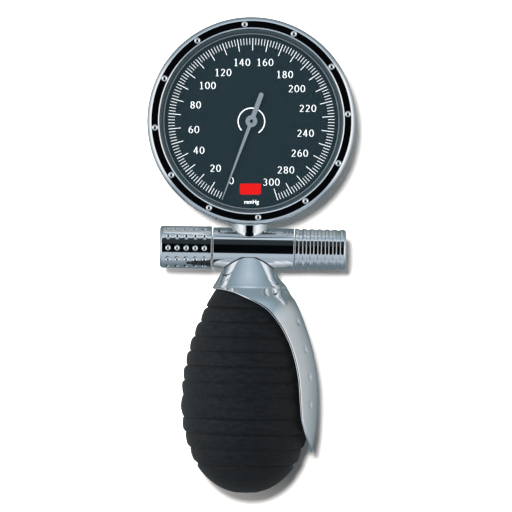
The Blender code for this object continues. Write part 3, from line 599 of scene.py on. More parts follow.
def dimple_cell(half_u, half_v, radius, depth):
    """A rectangle with a round hollow in it: rings of (u, v, depth below), from the rectangle inwards."""
    square = []
    for side in range(4):
        for k in range(CELL_STEPS):
            t = 2 * k / CELL_STEPS - 1
            square.append(((t, -1), (1, t), (-t, 1), (-1, -t))[side])
    rings = [[(u * half_u, v * half_v, 0.0) for u, v in square]]
    sphere = (radius**2 + depth**2) / (2 * depth)
    for share in DIMPLE_SHARES:
        reach = share * radius
        sunk = 0.0 if share >= 1 else math.sqrt(sphere**2 - reach**2) - (sphere - depth)
        turns = [math.hypot(u, v) for u, v in square]
        rings.append([(reach * u / n, reach * v / n, sunk) for (u, v), n in zip(square, turns)])
    return rings


def cell_mesh(rings, to_space, points, faces):
    """Append one cell, with its last ring closed by one face at the bottom of the hollow."""
    count = len(rings[0])
    first = len(points)
    for ring in rings:
        points += [to_space(u, v, sunk) for u, v, sunk in ring]
    for r in range(len(rings) - 1):
        for i in range(count):
            j = (i + 1) % count
            near, far = first + r * count, first + (r + 1) * count
            faces.append((near + i, near + j, far + j, far + i))
    last = first + (len(rings) - 1) * count
    faces.append(tuple(last + i for i in range(count)))


def plain_cell(half_u, half_v, to_space, points, faces):
    """Append one cell without a hollow, cut as finely along its edges as the others."""
    first = len(points)
    shares = np.linspace(-1, 1, CELL_STEPS + 1)
    points += [to_space(u * half_u, v * half_v, 0.0) for v in shares for u in shares]
    width = CELL_STEPS + 1
    for row in range(CELL_STEPS):
        for column in range(CELL_STEPS):
            corner = first + row * width + column
            faces.append((corner, corner + 1, corner + width + 1, corner + width))


def join_parts(*parts):
    """Put several (points, faces) together."""
    points, faces = [], []
    for more_points, more_faces in parts:
        first = len(points)
        points += list(more_points)
        faces += [tuple(first + i for i in face) for face in more_faces]
    return points, faces


# ---- gauge


def make_case():
    corner = arc((CASE_R - CASE_CORNER_R, CASE_CORNER_R), CASE_CORNER_R, -90, 0, 14)
    shoulder = BEZEL_FOOT - 0.3
    inset = CASE_WALL + CASE_HOLLOW_R
    profile = [
        (0.0, 0.0),
        (20.0, 0.0),
        *corner,
        (CASE_R, shoulder - 0.3),
        (CASE_R - 0.3, shoulder),
        (GLASS_R + 0.1, shoulder),
        (GLASS_R + 0.1, CASE_HIGH[2]),
        (GLASS_R - 1.3, CASE_HIGH[2]),
        (GLASS_R - 1.3, shoulder - 1.5),
        (CASE_R - CASE_WALL, shoulder - 2.4),
        *arc((CASE_R - inset, inset), CASE_HOLLOW_R, 0, -90, 8),
        (0.0, CASE_WALL),
    ]
    case = turned("case_shell", profile, CHROME, upright(), 192, closed=False)
    stands_for(case, "root", "chrome", "gauge_case")


def make_bezel():
    """A flat ring with twelve hollows, rolled over at the outside and rounded at the lip."""
    points, faces = [], []
    ring_middle = (RING_INNER + RING_OUTER) / 2
    half_v = (RING_OUTER - RING_INNER) / 2
    half_turn = math.pi / RING_CELLS
    rings = dimple_cell(half_turn * ring_middle, half_v, DIMPLE_R, DIMPLE_DEPTH)
    for k in range(RING_CELLS):
        middle = math.radians(DIMPLE_PHASE) + 2 * half_turn * k

        def to_space(u, v, sunk, middle=middle):
            angle = middle + u / ring_middle
            radius = ring_middle + v
            return (radius * math.cos(angle), radius * math.sin(angle), BEZEL_TOP - sunk)

        if k % DIMPLE_EVERY:
            plain_cell(half_turn * ring_middle, half_v, to_space, points, faces)
        else:
            cell_mesh(rings, to_space, points, faces)
    rim_r = BEZEL_R + RIM_PROUD
    roll = rim_r - RING_OUTER
    skirt = GLASS_R + 0.4
    profile = [
        (RING_OUTER, BEZEL_TOP),
        *[(RING_OUTER + roll * share, BEZEL_TOP - drop) for share, drop in RIM_ROLL],
        (rim_r, BEZEL_FOOT + 0.3),
        (rim_r - 0.3, BEZEL_FOOT),
        (skirt, BEZEL_FOOT),
        (skirt, GLASS_BOX[1][2] + 0.3),
        (LIP_R, GLASS_BOX[1][2] + 0.3),
        (LIP_R, BEZEL_TOP - LIP_DROP - 0.05),
        (LIP_R + 0.03, BEZEL_TOP - LIP_DROP),
        (RING_INNER, BEZEL_TOP),
    ]
    start = DIMPLE_PHASE - 180.0 / RING_CELLS
    sweep = turn_profile(profile, RING_CELLS * CELL_STEPS, start, closed=False)
    bezel = piece("bezel", *join_parts((points, faces), sweep), CHROME, upright(), 20.0)
    stands_for(bezel, "root", "chrome", "bezel_ring")


def make_trim():
    """The sloped wall between the dial and the lip: a groove near the lip, a step at its foot painted
    lighter as a painted highlight, and a painted shadow ring on the dial beside it.
    """
    low, high = TRIM_BOX[0][2], TRIM_BOX[1][2]
    profile = [
        (STEP_R, low),
        (TRIM_R, low),
        (TRIM_R, high),
        (GROOVE_R + 0.2, high - 0.25),
        (GROOVE_R + 0.12, high - 1.0),
        (GROOVE_R - 0.12, high - 1.0),
        (GROOVE_R - 0.2, high - 0.5),
        (STEP_R + 0.1, low + 0.45),
        (STEP_R, low + 0.4),
    ]
    ring = turned("dial_wall", profile, TRIM, upright(), 192)
    stands_for(ring, "root", "dial", "trim_ring")
    # The step's lighter paint is a painted highlight along the edge at the wall's foot
    profile = [(STEP_R - 0.28, low), (STEP_R, low), (STEP_R, low + 0.42), (STEP_R - 0.06, low + 0.44)]
    profile += [(STEP_R - 0.28, low + 0.3)]
    step = turned("wall_step", profile, STEP, upright(), 192)
    stands_for(step, "root", "dial")
    # A dark ring on the dial at the wall's foot: a painted shadow line
    edge = [(STEP_R - 0.5, DIAL_TOP), (STEP_R - 0.28, DIAL_TOP), (STEP_R - 0.28, DIAL_TOP + PRINT_RISE)]
    edge.append((STEP_R - 0.5, DIAL_TOP + PRINT_RISE))
    line = turned("dial_painted_shadow_line", edge, SHADE, upright(), 192)
    stands_for(line, "root", "dial")


def make_glass_disc():
    low, high = GLASS_BOX[0][2], GLASS_BOX[1][2]
    profile = [
        (0.0, low),
        (GLASS_R - 0.15, low),
        (GLASS_R, low + 0.15),
        (GLASS_R, high - 0.15),
        (GLASS_R - 0.15, high),
        (0.0, high),
    ]
    disc = turned("watch_glass", profile, GLASS, upright(), closed=False)
    stands_for(disc, "root", "glass", "gauge_glass")
    low, high = GASKET_BOX[0][2], GASKET_BOX[1][2]
    inner = GLASS_R - 1.2
    profile = [(inner, low), (GLASS_R - 0.2, low), (GLASS_R - 0.2, high), (inner, high)]
    gasket = turned("glass_seal", profile, SEAL, upright(), 128)
    stands_for(gasket, "root", "rubber", "glass_gasket")


def make_dial():
    outer = (DIAL_BOX[1][0] - DIAL_BOX[0][0]) / 2
    low = DIAL_BOX[0][2]
    profile = [(1.2, low), (outer, low), (outer, DIAL_TOP), (30.0, DIAL_TOP), (1.2, DIAL_TOP)]
    plate = turned("dial_face", profile, DIAL, upright())
    stands_for(plate, "root", "dial", "dial_plate")


def slab(outline, low, high):
    """A flat outline given some thickness."""
    count = len(outline)
    points = [(x, y, low) for x, y in outline] + [(x, y, high) for x, y in outline]
    faces = [tuple(range(count)), tuple(range(count, 2 * count))]
    faces += [(i, (i + 1) % count, count + (i + 1) % count, count + i) for i in range(count)]
    return points, faces


def ribbon(left, right, low, high, closed=False):
    """A strip between two rows of points, given some thickness."""
    count = len(left)
    points = [(x, y, z) for z in (low, high) for row in (left, right) for x, y in row]
    faces = []
    for i in range(count if closed else count - 1):
        j = (i + 1) % count
        a, b, c, d = i, j, count + j, count + i
        upper = 2 * count
        faces += [(a, b, c, d), (upper + a, upper + b, upper + c, upper + d)]
        faces += [(a, b, upper + b, upper + a), (d, c, upper + c, upper + d)]
    if not closed:
        for i in (0, count - 1):
            faces.append((i, count + i, 3 * count + i, 2 * count + i))
    return points, faces


def pen_stroke(path, closed=False):
    """Both edges of a stroke whose width follows a broad pen: thick going up or down, thin across."""
    left, right = [], []
    count = len(path)
    for i, (x, y) in enumerate(path):
        before = path[i - 1] if closed or i else path[0]
        after = path[(i + 1) % count] if closed or i < count - 1 else path[-1]
        dx, dy = after[0] - before[0], after[1] - before[1]
        length = math.hypot(dx, dy)
        steep = abs(dy) / length
        half = (DIGIT_THIN + (DIGIT_THICK - DIGIT_THIN) * steep**1.5) / 2
        left.append((x - dy / length * half, y + dx / length * half))
        right.append((x + dy / length * half, y - dx / length * half))
    return left, right


def oval(x, y, half_x, half_y, first=0.0, last=360.0, steps=28):
    """Points of an oval, without its last when it closes."""
    whole = abs(last - first) >= 360
    angles = np.radians(np.linspace(first, last, steps + 1))[: steps if whole else steps + 1]
    return [(x + half_x * math.cos(a), y + half_y * math.sin(a)) for a in angles]


# Strokes of each digit, from the lower left corner of its body: (path, closed)
DIGITS = {
    "0": [(oval(0.9, 1.25, 0.66, 1.14), True)],
    "1": [([(0.95, 2.46), (0.95, 0.06)], False), ([(0.42, 2.12), (0.7, 2.24), (0.95, 2.44)], False),
          ([(0.45, 0.07), (1.45, 0.07)], False)],
    "2": [(oval(0.85, 1.75, 0.55, 0.64, 160, -25, 18) + [(0.95, 0.95), (0.25, 0.12)], False),
          ([(0.25, 0.13), (0.9, 0.13), (1.5, 0.16)], False)],
    "3": [(oval(0.8, 1.85, 0.5, 0.55, 150, -80, 18), False),
          (oval(0.75, 0.72, 0.6, 0.63, 85, -150, 20), False)],
    "4": [([(1.15, 2.46), (1.15, 0.03)], False), ([(1.1, 2.4), (0.16, 0.72)], False),
          ([(0.12, 0.7), (1.62, 0.7)], False)],
    "6": [(oval(0.9, 0.78, 0.6, 0.68), True), (oval(1.5, 0.9, 1.2, 1.5, 103, 180, 14), False)],
    "8": [(oval(0.9, 0.66, 0.6, 0.57), True), (oval(0.9, 1.83, 0.48, 0.54), True)],
}


def label_parts(number, low, high):
    """Upright digits of one number, centred where its label belongs."""
    digits = str(number)
    x, y = LABEL_PLACES[number]
    left = x - DIGIT_ADVANCE * (len(digits) - 1) / 2 - DIGIT_WIDTH / 2
    parts = []
    for place, digit in enumerate(digits):
        for lift, (path, closed) in enumerate(DIGITS[digit]):
            moved = [(px + left + DIGIT_ADVANCE * place, py + y - DIGIT_HEIGHT / 2) for px, py in path]
            edges = pen_stroke(moved, closed)
            parts.append(ribbon(*edges, low, high + 0.002 * lift, closed))
    return parts


def make_print():
    """Tick marks, numbers and the arc round the hub, printed on the dial."""
    low, high = DIAL_TOP - 0.01, DIAL_TOP + PRINT_RISE
    parts = []
    for value in range(0, FULL_SCALE + 1, 2):
        angle = math.radians(ZERO_ANGLE - SWEEP * value / FULL_SCALE)
        inner, width = (TICK_INNER, TICK_WIDTH) if value % 10 else (TICK_INNER_MAJOR, TICK_WIDTH_MAJOR)
        across = Vector((-math.sin(angle), math.cos(angle))) * width / 2
        along = Vector((math.cos(angle), math.sin(angle)))
        corners = [along * inner - across, along * TICK_OUTER - across]
        corners += [along * TICK_OUTER + across, along * inner + across]
        parts.append(slab([tuple(c) for c in corners], low, high))
    inner = arc((0, 0), ARC_R - ARC_HALF, *ARC_ENDS, 70)
    outer = arc((0, 0), ARC_R + ARC_HALF, *ARC_ENDS, 70)
    turn = math.radians(PRINT_TURN)
    turned_parts = [ribbon(inner, outer, low, high)]
    for number in LABEL_PLACES:
        turned_parts += label_parts(number, low, high)
    for points, faces in turned_parts:
        spun = [(x * math.cos(turn) - y * math.sin(turn), x * math.sin(turn) + y * math.cos(turn), z)
                for x, y, z in points]
        parts.append((spun, faces))
    marks = piece("dial_print", *join_parts(*parts), PRINT, upright())
    stands_for(marks, "root", "dial")


def make_badge():
    """A plain red lozenge where a maker would put a mark, and the unit below it."""
    low, high = DIAL_TOP - 0.01, DIAL_TOP + PRINT_RISE
    middle_x, middle_y = BADGE_PLACE
    outline = []
    for x, y, start in ((1, 1, 0), (-1, 1, 90), (-1, -1, 180), (1, -1, 270)):
        centre_x = middle_x + x * (BADGE_HALF_X - BADGE_CORNER_R)
        centre_y = middle_y + y * (BADGE_HALF_Y - BADGE_CORNER_R)
        outline += arc((centre_x, centre_y), BADGE_CORNER_R, start, start + 90, 8)
    badge = piece("red_lozenge", *slab(outline, low, high), RED, upright(PRINT_TURN))
    stands_for(badge, "root", "dial")
    text = bpy.data.curves.new("unit_text", "FONT")
    text.body = "mmHg"
    text.align_x = "CENTER"
    text.align_y = "CENTER"
    text.size = UNIT_SIZE * MM
    text.extrude = PRINT_RISE / 2 * MM
    text.offset = 0.02 * MM
    text.materials.append(PRINT)
    unit = bpy.data.objects.new("unit_text", text)
    bpy.context.collection.objects.link(unit)
    place = upright(PRINT_TURN) @ Matrix.Translation((*UNIT_PLACE, DIAL_TOP + PRINT_RISE / 2))
    place.translation *= MM
    unit.matrix_world = place
    stands_for(unit, "root", "dial")


def make_pointer():
    """Tapered needle, round hub and a tail with a round end, with softened edges."""
    needle = math.degrees(math.asin(POINTER_ROOT_HALF / POINTER_HUB_R))
    tail = math.degrees(math.asin(POINTER_TAIL_HALF / POINTER_HUB_R))
    upper = arc((0, 0), POINTER_HUB_R, needle, 180 - tail, 24)
    end = arc((-POINTER_TAIL + POINTER_END_R, 0), POINTER_END_R, 125, 235, 14)
    lower = [(x, -y) for x, y in reversed(upper)]
    outline = [(POINTER_TIP, -POINTER_TIP_HALF), (POINTER_TIP, POINTER_TIP_HALF), *upper, *end, *lower]
    low, high = POINTER_LOW, POINTER_HIGH
    hand = piece("pointer_hand", *slab(outline, low, high), POINTER, upright(ZERO_ANGLE))
    soften(hand, 0.1)
    stands_for(hand, "pointer", "pointer", "pointer")
    collet = [(0.62, high - 0.05), (1.0, high - 0.05), (1.0, high + 0.12)]
    collet += [(0.9, high + 0.2), (0.62, high + 0.2)]
    ring = turned("pointer_collet", collet, POINTER, upright(), 48)
    stands_for(ring, "pointer", "pointer")


def soften(item, width):
    """Round a piece's edges."""
    change = item.modifiers.new("soften", "BEVEL")
    change.width = width * MM
    change.segments = 2
    change.limit_method = "ANGLE"
    change.angle_limit = math.radians(40)


# ---- tube


def make_neck():
    """A cone from inside the tube to the case."""
    far = -(NECK_HIGH[1] - TUBE_Y) - NECK_REACH
    neck_r = (NECK_HIGH[0] - NECK_LOW[0]) / 2
    foot_r = neck_r - NECK_TAPER
    profile = [
        (NECK_BORE_R, -3.0),
        (foot_r, -3.0),
        (foot_r, -5.2),
        (foot_r + 0.02, -5.3),
        (neck_r - 0.02, far + 0.1),
        (neck_r, far),
        (NECK_BORE_R, far),
    ]
    neck = turned("neck", profile, CHROME, down_bulb(), 128)
    stands_for(neck, "root", "chrome", "neck_collar")


def make_tube():
    """An open tube. The rings near its ends keep its shading straight."""
    left, right = TUBE_LOW[0], TUBE_HIGH[0]
    profile = [
        (TUBE_BORE_R, left),
        (TUBE_R - 0.25, left),
        *arc((TUBE_R - 0.25, left + 0.25), 0.25, -60, 0, 3),
        (TUBE_R, left + 0.4),
        (TUBE_R, right - 0.4),
        (TUBE_R, right - 0.2),
        *arc((TUBE_R - 0.2, right - 0.2), 0.2, 0, 90, 3),
        (TUBE_BORE_R, right),
    ]
    tube = turned("cross_tube", profile, CHROME, along_tube())
    stands_for(tube, "root", "chrome", "tube_body")


def make_knob():
    """The release valve's sleeve: a closed left end, cells with hollows, and an open right end."""
    left, right = KNOB_LOW[0], KNOB_HIGH[0]
    first = left + KNOB_FIRST - KNOB_PITCH / 2
    last = first + KNOB_PITCH * KNOB_COLUMNS
    half_u = math.pi * KNOB_R / KNOB_ROWS
    rings = dimple_cell(half_u, KNOB_PITCH / 2, KNOB_DIMPLE_R, KNOB_DIMPLE_DEPTH)
    points, faces = [], []
    for row in range(KNOB_ROWS):
        middle = math.pi + math.radians(KNOB_PHASE) + 2 * math.pi * row / KNOB_ROWS
        for column in range(KNOB_COLUMNS):
            height = first + KNOB_PITCH * (column + 0.5)

            def to_space(u, v, sunk, middle=middle, height=height):
                angle = middle + u / KNOB_R
                radius = KNOB_R - sunk
                return (radius * math.cos(angle), radius * math.sin(angle), height + v)

            cell_mesh(rings, to_space, points, faces)
    start = 180 + KNOB_PHASE - 180.0 / KNOB_ROWS
    sides = KNOB_ROWS * CELL_STEPS
    rounding = 1.1
    near = [
        (0.0, left + 0.35),
        (5.0, left + 0.35),
        (5.5, left),
        *arc((KNOB_R - rounding, left + rounding), rounding, -80, 0, 8),
        (KNOB_R, first),
    ]
    far = [(KNOB_R, last), *arc((KNOB_R - 0.2, right - 0.2), 0.2, 0, 90, 4)]
    far += [(TUBE_BORE_R, right), (TUBE_BORE_R, left + 5.0), (0.0, left + 5.0)]
    ends = [turn_profile(profile, sides, start, closed=False) for profile in (near, far)]
    knob = piece("knob_sleeve", *join_parts((points, faces), *ends), CHROME, along_tube())
    stands_for(knob, "valve_knob", "chrome", "valve_knob")


def make_sleeve():
    """The hose socket's sleeve with its shallow bands, and the barbed nipple inside."""
    left, right = SLEEVE_LOW[0], SLEEVE_HIGH[0]
    half = RIB_PITCH / 2
    deep = TUBE_R - RIB_DEPTH
    profile = [(TUBE_R - 0.2, left), (TUBE_R, left + 0.2)]
    for i in range(RIBS):
        start = left + 0.2 + RIB_PITCH * i
        profile += [
            (TUBE_R, start + half - 0.3),
            (TUBE_R - 0.06, start + half - 0.17),
            (deep, start + half),
            (deep, start + 2 * half - 0.3),
            (TUBE_R - 0.06, start + 2 * half - 0.13),
            (TUBE_R, start + 2 * half),
        ]
    profile += arc((TUBE_R - 1.0, right - 1.0), 1.0, 0, 80, 8)
    floor = left + SOCKET_FLOOR
    profile += [(TUBE_R - 1.2, right), (SOCKET_BORE_R + 0.2, right), (SOCKET_BORE_R, right - 0.2)]
    profile += [(SOCKET_BORE_R, floor), (SOCKET_HOLE_R, floor), (SOCKET_HOLE_R, left)]
    sleeve = turned("socket_sleeve", profile, CHROME, along_tube())
    stands_for(sleeve, "root", "chrome", "hose_sleeve")

    left, right = NIPPLE_LOW[0], NIPPLE_HIGH[0]
    profile = [(NIPPLE_BORE_R, left), (NIPPLE_R, left), (NIPPLE_R, floor + 0.8)]
    for i in range(BARBS):
        start = floor + 0.8 + BARB_PITCH * i
        profile += [(NIPPLE_R + 0.6, start), (NIPPLE_R + 0.7, start + 0.15), (NIPPLE_R - 0.1, start + 2.5)]
    profile += [(NIPPLE_R - 0.3, right - 0.05), (NIPPLE_BORE_R + 0.1, right), (NIPPLE_BORE_R, right - 0.15)]
    nipple = turned("barbed_nipple", profile, SATIN, along_tube(), 96)
    stands_for(nipple, "root", "steel", "hose_nipple")


# ---- bulb and spoon


def edge_rows(count):
    """Rows of (half angle, distance) spaced evenly along the open edge, from the back corner to the tip."""
    halves = np.linspace(180.0, 1.0, 1200)
    distances = np.array([smooth(SPOON_EDGE, h) for h in halves])
    radii = np.array([smooth(SPOON_OUTLINE, s) for s in distances])
    across = np.diff(np.radians(halves)) * (radii[1:] + radii[:-1]) / 2
    steps = np.hypot(across, np.diff(distances))
    travelled = np.concatenate([[0.0], np.cumsum(steps)])
    even = np.linspace(0.0, travelled[-1], count)
    rows = zip(np.interp(even, travelled, halves), np.interp(even, travelled, distances))
    return [(half - EDGE_INSET * min(1.0, (180 - half) / 60, half / 12), s) for half, s in rows]


def spoon_sheet(rows, points):
    """Append rows of (radius, half angle, distance, dimpled) as a grid. Return each row's point numbers."""
    grid = []
    for radius, half, distance, dimpled in rows:
        first = len(points)
        for j in range(SPOON_COLUMNS + 1):
            angle = half * (2 * j / SPOON_COLUMNS - 1)
            reach = radius + side_flare(angle, distance)
            if dimpled:
                reach -= spoon_dip(angle, distance, radius)
            turn = math.radians(angle)
            points.append((reach * math.cos(turn), reach * math.sin(turn), distance))
        grid.append(list(range(first, first + SPOON_COLUMNS + 1)))
    return grid


def side_flare(angle, distance):
    """How much further out the cap runs into the spoon on its +X side than a plain cone would."""
    away = min(abs(distance - FLARE_PLACE) / FLARE_SPAN, 1.0)
    return FLARE * (0.5 + 0.5 * math.cos(math.pi * away)) * max(math.cos(math.radians(angle)), 0.0) ** 3


def spoon_dip(angle, distance, radius):
    """How far the surface is pressed in at a place, by the soft finger dimples."""
    for side, s in SPOON_DIMPLES:
        away = math.hypot(math.radians(angle - side) * radius, distance - s)
        if away < SPOON_DIMPLE_R:
            return SPOON_DIMPLE_DEPTH * (0.5 + 0.5 * math.cos(math.pi * away / SPOON_DIMPLE_R))
    return 0.0


def edge_loop(sheet, inset=0):
    """Point numbers down one side of a sheet and back up the other."""
    return [row[inset] for row in sheet] + [row[-1 - inset] for row in reversed(sheet)][:-1]


def spoon_rim(points, faces, outer, inner):
    """Close the open edge between the two sheets with a half-round bead."""
    outer_loop, inner_loop = edge_loop(outer), edge_loop(inner)
    inside = edge_loop(outer, 1)
    count = len(outer_loop)
    at = [Vector(points[i]) for i in outer_loop]
    under = [Vector(points[i]) for i in inner_loop]
    rings = [outer_loop]
    for turn in np.linspace(0, math.pi, 8)[1:-1]:
        first = len(points)
        for i in range(count):
            middle, half = (at[i] + under[i]) / 2, (at[i] - under[i]) / 2
            along = at[(i + 1) % count] - at[i - 1]
            out = along.cross(half)
            out.normalize()
            away = at[i] - Vector(points[inside[i]])
            if i == 0:
                away = Vector((0.0, 0.0, 1.0))
            if out.dot(away) < 0:
                out = -out
            points.append(tuple(middle + half * math.cos(turn) + out * half.length * math.sin(turn)))
        rings.append(list(range(first, first + count)))
    rings.append(inner_loop)
    for near, far in zip(rings, rings[1:]):
        faces += [(near[i], near[(i + 1) % count], far[(i + 1) % count], far[i]) for i in range(count)]


def make_spoon():
    """The cap is closed all round; below its back corner the shell narrows to the spoon on the +X side."""
    edge = edge_rows(SPOON_ROWS)
    cap = list(np.linspace(CAP_OUTLINE[0][0], CAP_CORNER, CAP_ROWS + 1))[:-1]
    opened = [(smooth(SPOON_OUTLINE, s), half, s) for half, s in edge]
    outer_rows = [(smooth(CAP_OUTLINE, s), 180.0, s, False) for s in cap]
    outer_rows += [(r, half, s, True) for r, half, s in opened]
    inner_rows = [(CAP_BORE_R, 180.0, cap[0], False), (CAP_BORE_R, 180.0, CAP_ROOF - 0.3, False)]
    for s in np.linspace(CAP_ROOF, 13.0, 6):
        inner_rows.append((smooth(CAP_OUTLINE, s) - SPOON_WALL, 180.0, s, False))
    inner_rows += [(r - SPOON_WALL, half, s, False) for r, half, s in opened]
    points, faces = [], []
    outer = spoon_sheet(outer_rows, points)
    inner = spoon_sheet(inner_rows, points)
    pairs = [*zip(outer, outer[1:]), *zip(inner, inner[1:]), (outer[0], inner[0]), (outer[-1], inner[-1])]
    for near, far in pairs:
        faces += [(near[j], near[j + 1], far[j + 1], far[j]) for j in range(SPOON_COLUMNS)]
    spoon_rim(points, faces, outer[-len(opened):], inner[-len(opened):])
    spoon = piece("spoon_shell", points, faces, CHROME, down_bulb(), 50.0)
    stands_for(spoon, "root", "chrome", "grip_spoon")


def make_cap_seam():
    """A dark rubber bead along the gap where the cap's saddle meets the tube, over the upper half: a painted
    shadow for the shade in that gap.
    """
    path = []
    for angle in np.radians(np.linspace(-84, 84, 61)):
        low, high = CAP_OUTLINE[0][0], TUBE_R
        for _ in range(30):
            s = (low + high) / 2
            if s**2 + (smooth(CAP_OUTLINE, s) * math.cos(angle)) ** 2 < TUBE_R**2:
                low = s
            else:
                high = s
        height = min(smooth(CAP_OUTLINE, s) * math.cos(angle), math.sqrt(TUBE_R**2 - s**2))
        path.append((height * math.tan(angle), TUBE_Y - s, TUBE_Z + height))
    curve = bpy.data.curves.new("cap_gap_shadow", "CURVE")
    curve.dimensions = "3D"
    curve.bevel_depth = GAP_SHADOW_R * MM
    curve.bevel_resolution = 3
    curve.use_fill_caps = True
    spline = curve.splines.new("POLY")
    spline.points.add(len(path) - 1)
    for point, (x, y, z) in zip(spline.points, path):
        point.co = (x * MM, y * MM, z * MM, 1.0)
    curve.materials.append(SEAL)
    gap_shadow = bpy.data.objects.new("cap_gap_shadow", curve)
    bpy.context.collection.objects.link(gap_shadow)
    stands_for(gap_shadow, "root", "rubber")


def ring_rise(share):
    """Height over the crease across one ring: it steps out from its upper crease, then falls to the next."""
    if share < RING_STEP:
        return math.sin(share / RING_STEP * math.pi / 2)
    return 1.0 - RING_FALL * ((share - RING_STEP) / (1 - RING_STEP)) ** 2


def bulb_radius(s):
    """The bulb's outline with its rings."""
    radius = smooth(BULB_OUTLINE, s)
    creases = UPPER_CREASES + LOWER_CREASES
    if s < creases[0]:
        return radius
    for low, high in zip(creases, creases[1:]):
        if low <= s < high:
            share = (s - low) / (high - low)
            if high > LOWER_CREASES[0]:
                share = 1.0 - share
            if low == UPPER_CREASES[-1]:
                rise = math.sin(math.pi * share) ** 0.6 if 0 < share < 1 else 0.0
            else:
                rise = ring_rise(share)
            return radius + CREASE_DEPTH * (rise - 1.0)
    fade = min((s - creases[-1]) / LAST_RING_FADE, 1.0)
    return radius - CREASE_DEPTH * (1.0 - math.sin(fade * math.pi / 2))


def make_bulb():
    """A ribbed bulb, turned whole from its outline with an inner wall; it stays where it is made."""
    outer = [(BULB_HOLE_R, BULB_TOP), (8.2, BULB_TOP + 0.3), (10.2, 12.2)]
    outer += [(bulb_radius(s), s) for s in np.arange(BULB_OUTLINE[0][0], RINGS_END, BULB_STEP)]
    outer += [(smooth(BULB_OUTLINE, s), s) for s in np.linspace(RINGS_END + 0.2, BULB_END, 24)]
    inner = [(BULB_HOLE_R, BULB_END), (BULB_HOLE_R, BULB_END - 2.6)]
    for s in (79.5, 76.0, 72.0, 65.0, 58.0, 50.0, 42.0, 35.0, 28.0, 22.0, 17.0):
        inner.append((smooth(BULB_OUTLINE, s) - BULB_WALL - CREASE_DEPTH, s))
    inner.append((BULB_HOLE_R, BULB_TOP + 2.4))
    bulb = turned("ribbed_bulb", outer + inner, RUBBER, down_bulb(), 192)
    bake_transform(bulb)
    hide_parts("bulb")


# ---- the frame's own nodes

KEPT_FINISHES = {"brass": BRASS, "steel": SATIN, "bronze": BRONZE, "rubber": SEAL, "chrome": CHROME}


def dress_frame_nodes():
    """Give every node that stays a procedural finish for its slot."""
    slots = {part["node"]: part["material_slot"] for part in frame["record"]["subparts"]}
    for name, item in frame["nodes"].items():
        if item.hide_render:
            continue
        finish = KEPT_FINISHES[slots[name]]
        for holder in item.material_slots:
            holder.material = finish


# ---- floor, light and camera


def make_floor():
    """Pale paper under the case, which the chrome doesn't show."""
    material, tree, shader = new_material("pale_paper")
    grain = noise(tree, coordinates(tree), 40.0)
    tree.links.new(tint(tree, grain, (0.93, 0.90, 0.87), (0.95, 0.92, 0.89)), shader.inputs["Base Color"])
    shader.inputs["Roughness"].default_value = 0.9
    shader.inputs["Specular IOR Level"].default_value = 0.1
    signs = ((-1, -1), (1, -1), (1, 1), (-1, 1))
    corners = [(x * FLOOR_REACH, y * FLOOR_REACH, CASE_LOW[2] - FLOOR_GAP) for x, y in signs]
    floor = piece("floor", corners, [(0, 1, 2, 3)], material)
    floor.visible_glossy = False


def blend_colours(tree, share, first, second):
    """From the first colour to the second, by a share."""
    mix = add(tree, "ShaderNodeMix", data_type="RGBA")
    tree.links.new(share, mix.inputs["Factor"])
    tree.links.new(first, mix.inputs[6])
    tree.links.new(second, mix.inputs[7])
    return mix.outputs[2]


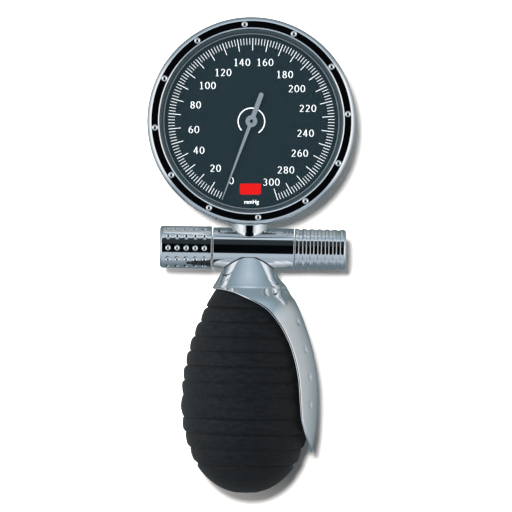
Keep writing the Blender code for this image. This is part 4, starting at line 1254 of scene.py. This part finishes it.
def make_world():
    """A studio for the chrome to show: dark overhead, bright round that, and greyer down to the floor."""
    world = bpy.data.worlds.new("studio")
    bpy.context.scene.world = world
    world.use_nodes = True
    tree = world.node_tree
    tree.nodes.clear()
    place = add(tree, "ShaderNodeTexCoord")
    split = add(tree, "ShaderNodeSeparateXYZ")
    tree.links.new(place.outputs["Generated"], split.inputs["Vector"])
    level = spread(tree, split.outputs["Z"], 0.0, 1.0, -1.0, 1.0)
    ramps = []
    for stops in (FAR_SIDE, NEAR_SIDE, FLANKS):
        ramp = add(tree, "ShaderNodeValToRGB")
        points = ramp.color_ramp.elements
        while len(points) < len(stops):
            points.new(0.5)
        for point, (height, colour) in zip(points, stops):
            point.position = (height + 1) / 2
            point.color = (*[linear(c) for c in colour], 1.0)
        tree.links.new(level, ramp.inputs["Fac"])
        ramps.append(ramp.outputs["Color"])
    sizes = {}
    for axis in "XY":
        sizes[axis] = add(tree, "ShaderNodeMath", operation="ABSOLUTE")
        tree.links.new(split.outputs[axis], sizes[axis].inputs[0])
    flank = add(tree, "ShaderNodeMath", operation="MULTIPLY_ADD")
    tree.links.new(sizes["Y"].outputs[0], flank.inputs[0])
    flank.inputs[1].default_value = -1.0
    tree.links.new(sizes["X"].outputs[0], flank.inputs[2])
    nearness = spread(tree, split.outputs["Y"], 1.0, 0.0, -SIDE_BLEND, SIDE_BLEND)
    front = blend_colours(tree, nearness, *ramps[:2])
    colour = blend_colours(tree, spread(tree, flank.outputs[0], 0.0, 1.0, *FLANK_BLEND), front, ramps[2])
    path = add(tree, "ShaderNodeLightPath")
    strength = spread(tree, path.outputs["Is Diffuse Ray"], MIRRORED_STRENGTH, DIFFUSE_STRENGTH, 0.0, 1.0)
    glow = add(tree, "ShaderNodeBackground")
    tree.links.new(strength, glow.inputs["Strength"])
    tree.links.new(colour, glow.inputs["Color"])
    output = add(tree, "ShaderNodeOutputWorld")
    tree.links.new(glow.outputs["Background"], output.inputs["Surface"])


def linear(value):
    """A display value from 0 to 255 as linear light."""
    share = value / 255
    return share / 12.92 if share <= 0.04045 else ((share + 0.055) / 1.055) ** 2.4


def make_light(name, kind, direction, energy):
    """A soft light that the chrome doesn't show."""
    light = bpy.data.lights.new(name, kind)
    light.energy = energy
    item = bpy.data.objects.new(name, light)
    bpy.context.collection.objects.link(item)
    item.rotation_euler = Vector(direction).to_track_quat("-Z", "Y").to_euler()
    item.visible_glossy = False
    return item


def make_lights():
    """The key is a round panel nearly overhead, to the upper left. The fill is weak, wide and lower."""
    place = Vector(KEY_PLACE)
    key = make_light("key", "AREA", -place, KEY_ENERGY)
    key.location = place * MM
    key.data.shape = "DISK"
    key.data.size = KEY_SIZE * MM
    fill = make_light("fill", "SUN", FILL_DIRECTION, FILL_ENERGY)
    fill.data.angle = math.radians(FILL_ANGLE)


def make_camera():
    """Straight overhead and turned a little."""
    camera = bpy.data.cameras.new("camera")
    camera.sensor_width = SENSOR_WIDTH
    camera.lens = SENSOR_WIDTH * CAMERA_DISTANCE / VIEW_WIDTH
    camera.clip_end = 10.0
    item = bpy.data.objects.new("camera", camera)
    bpy.context.collection.objects.link(item)
    shift_x, shift_y = CAMERA_SHIFT
    item.location = (shift_x * MM, shift_y * MM, (CAMERA_LEVEL + CAMERA_DISTANCE) * MM)
    item.rotation_euler = (0.0, 0.0, math.radians(CAMERA_TURN))
    bpy.context.scene.camera = item


def main():
    make_camera()
    make_world()
    make_lights()
    make_floor()
    make_case()
    make_bezel()
    make_trim()
    make_glass_disc()
    make_dial()
    make_print()
    make_badge()
    make_pointer()
    make_neck()
    make_tube()
    make_knob()
    make_sleeve()
    make_spoon()
    make_cap_seam()
    make_bulb()
    dress_frame_nodes()
    bpy.context.scene.view_settings.view_transform = "Standard"


main()
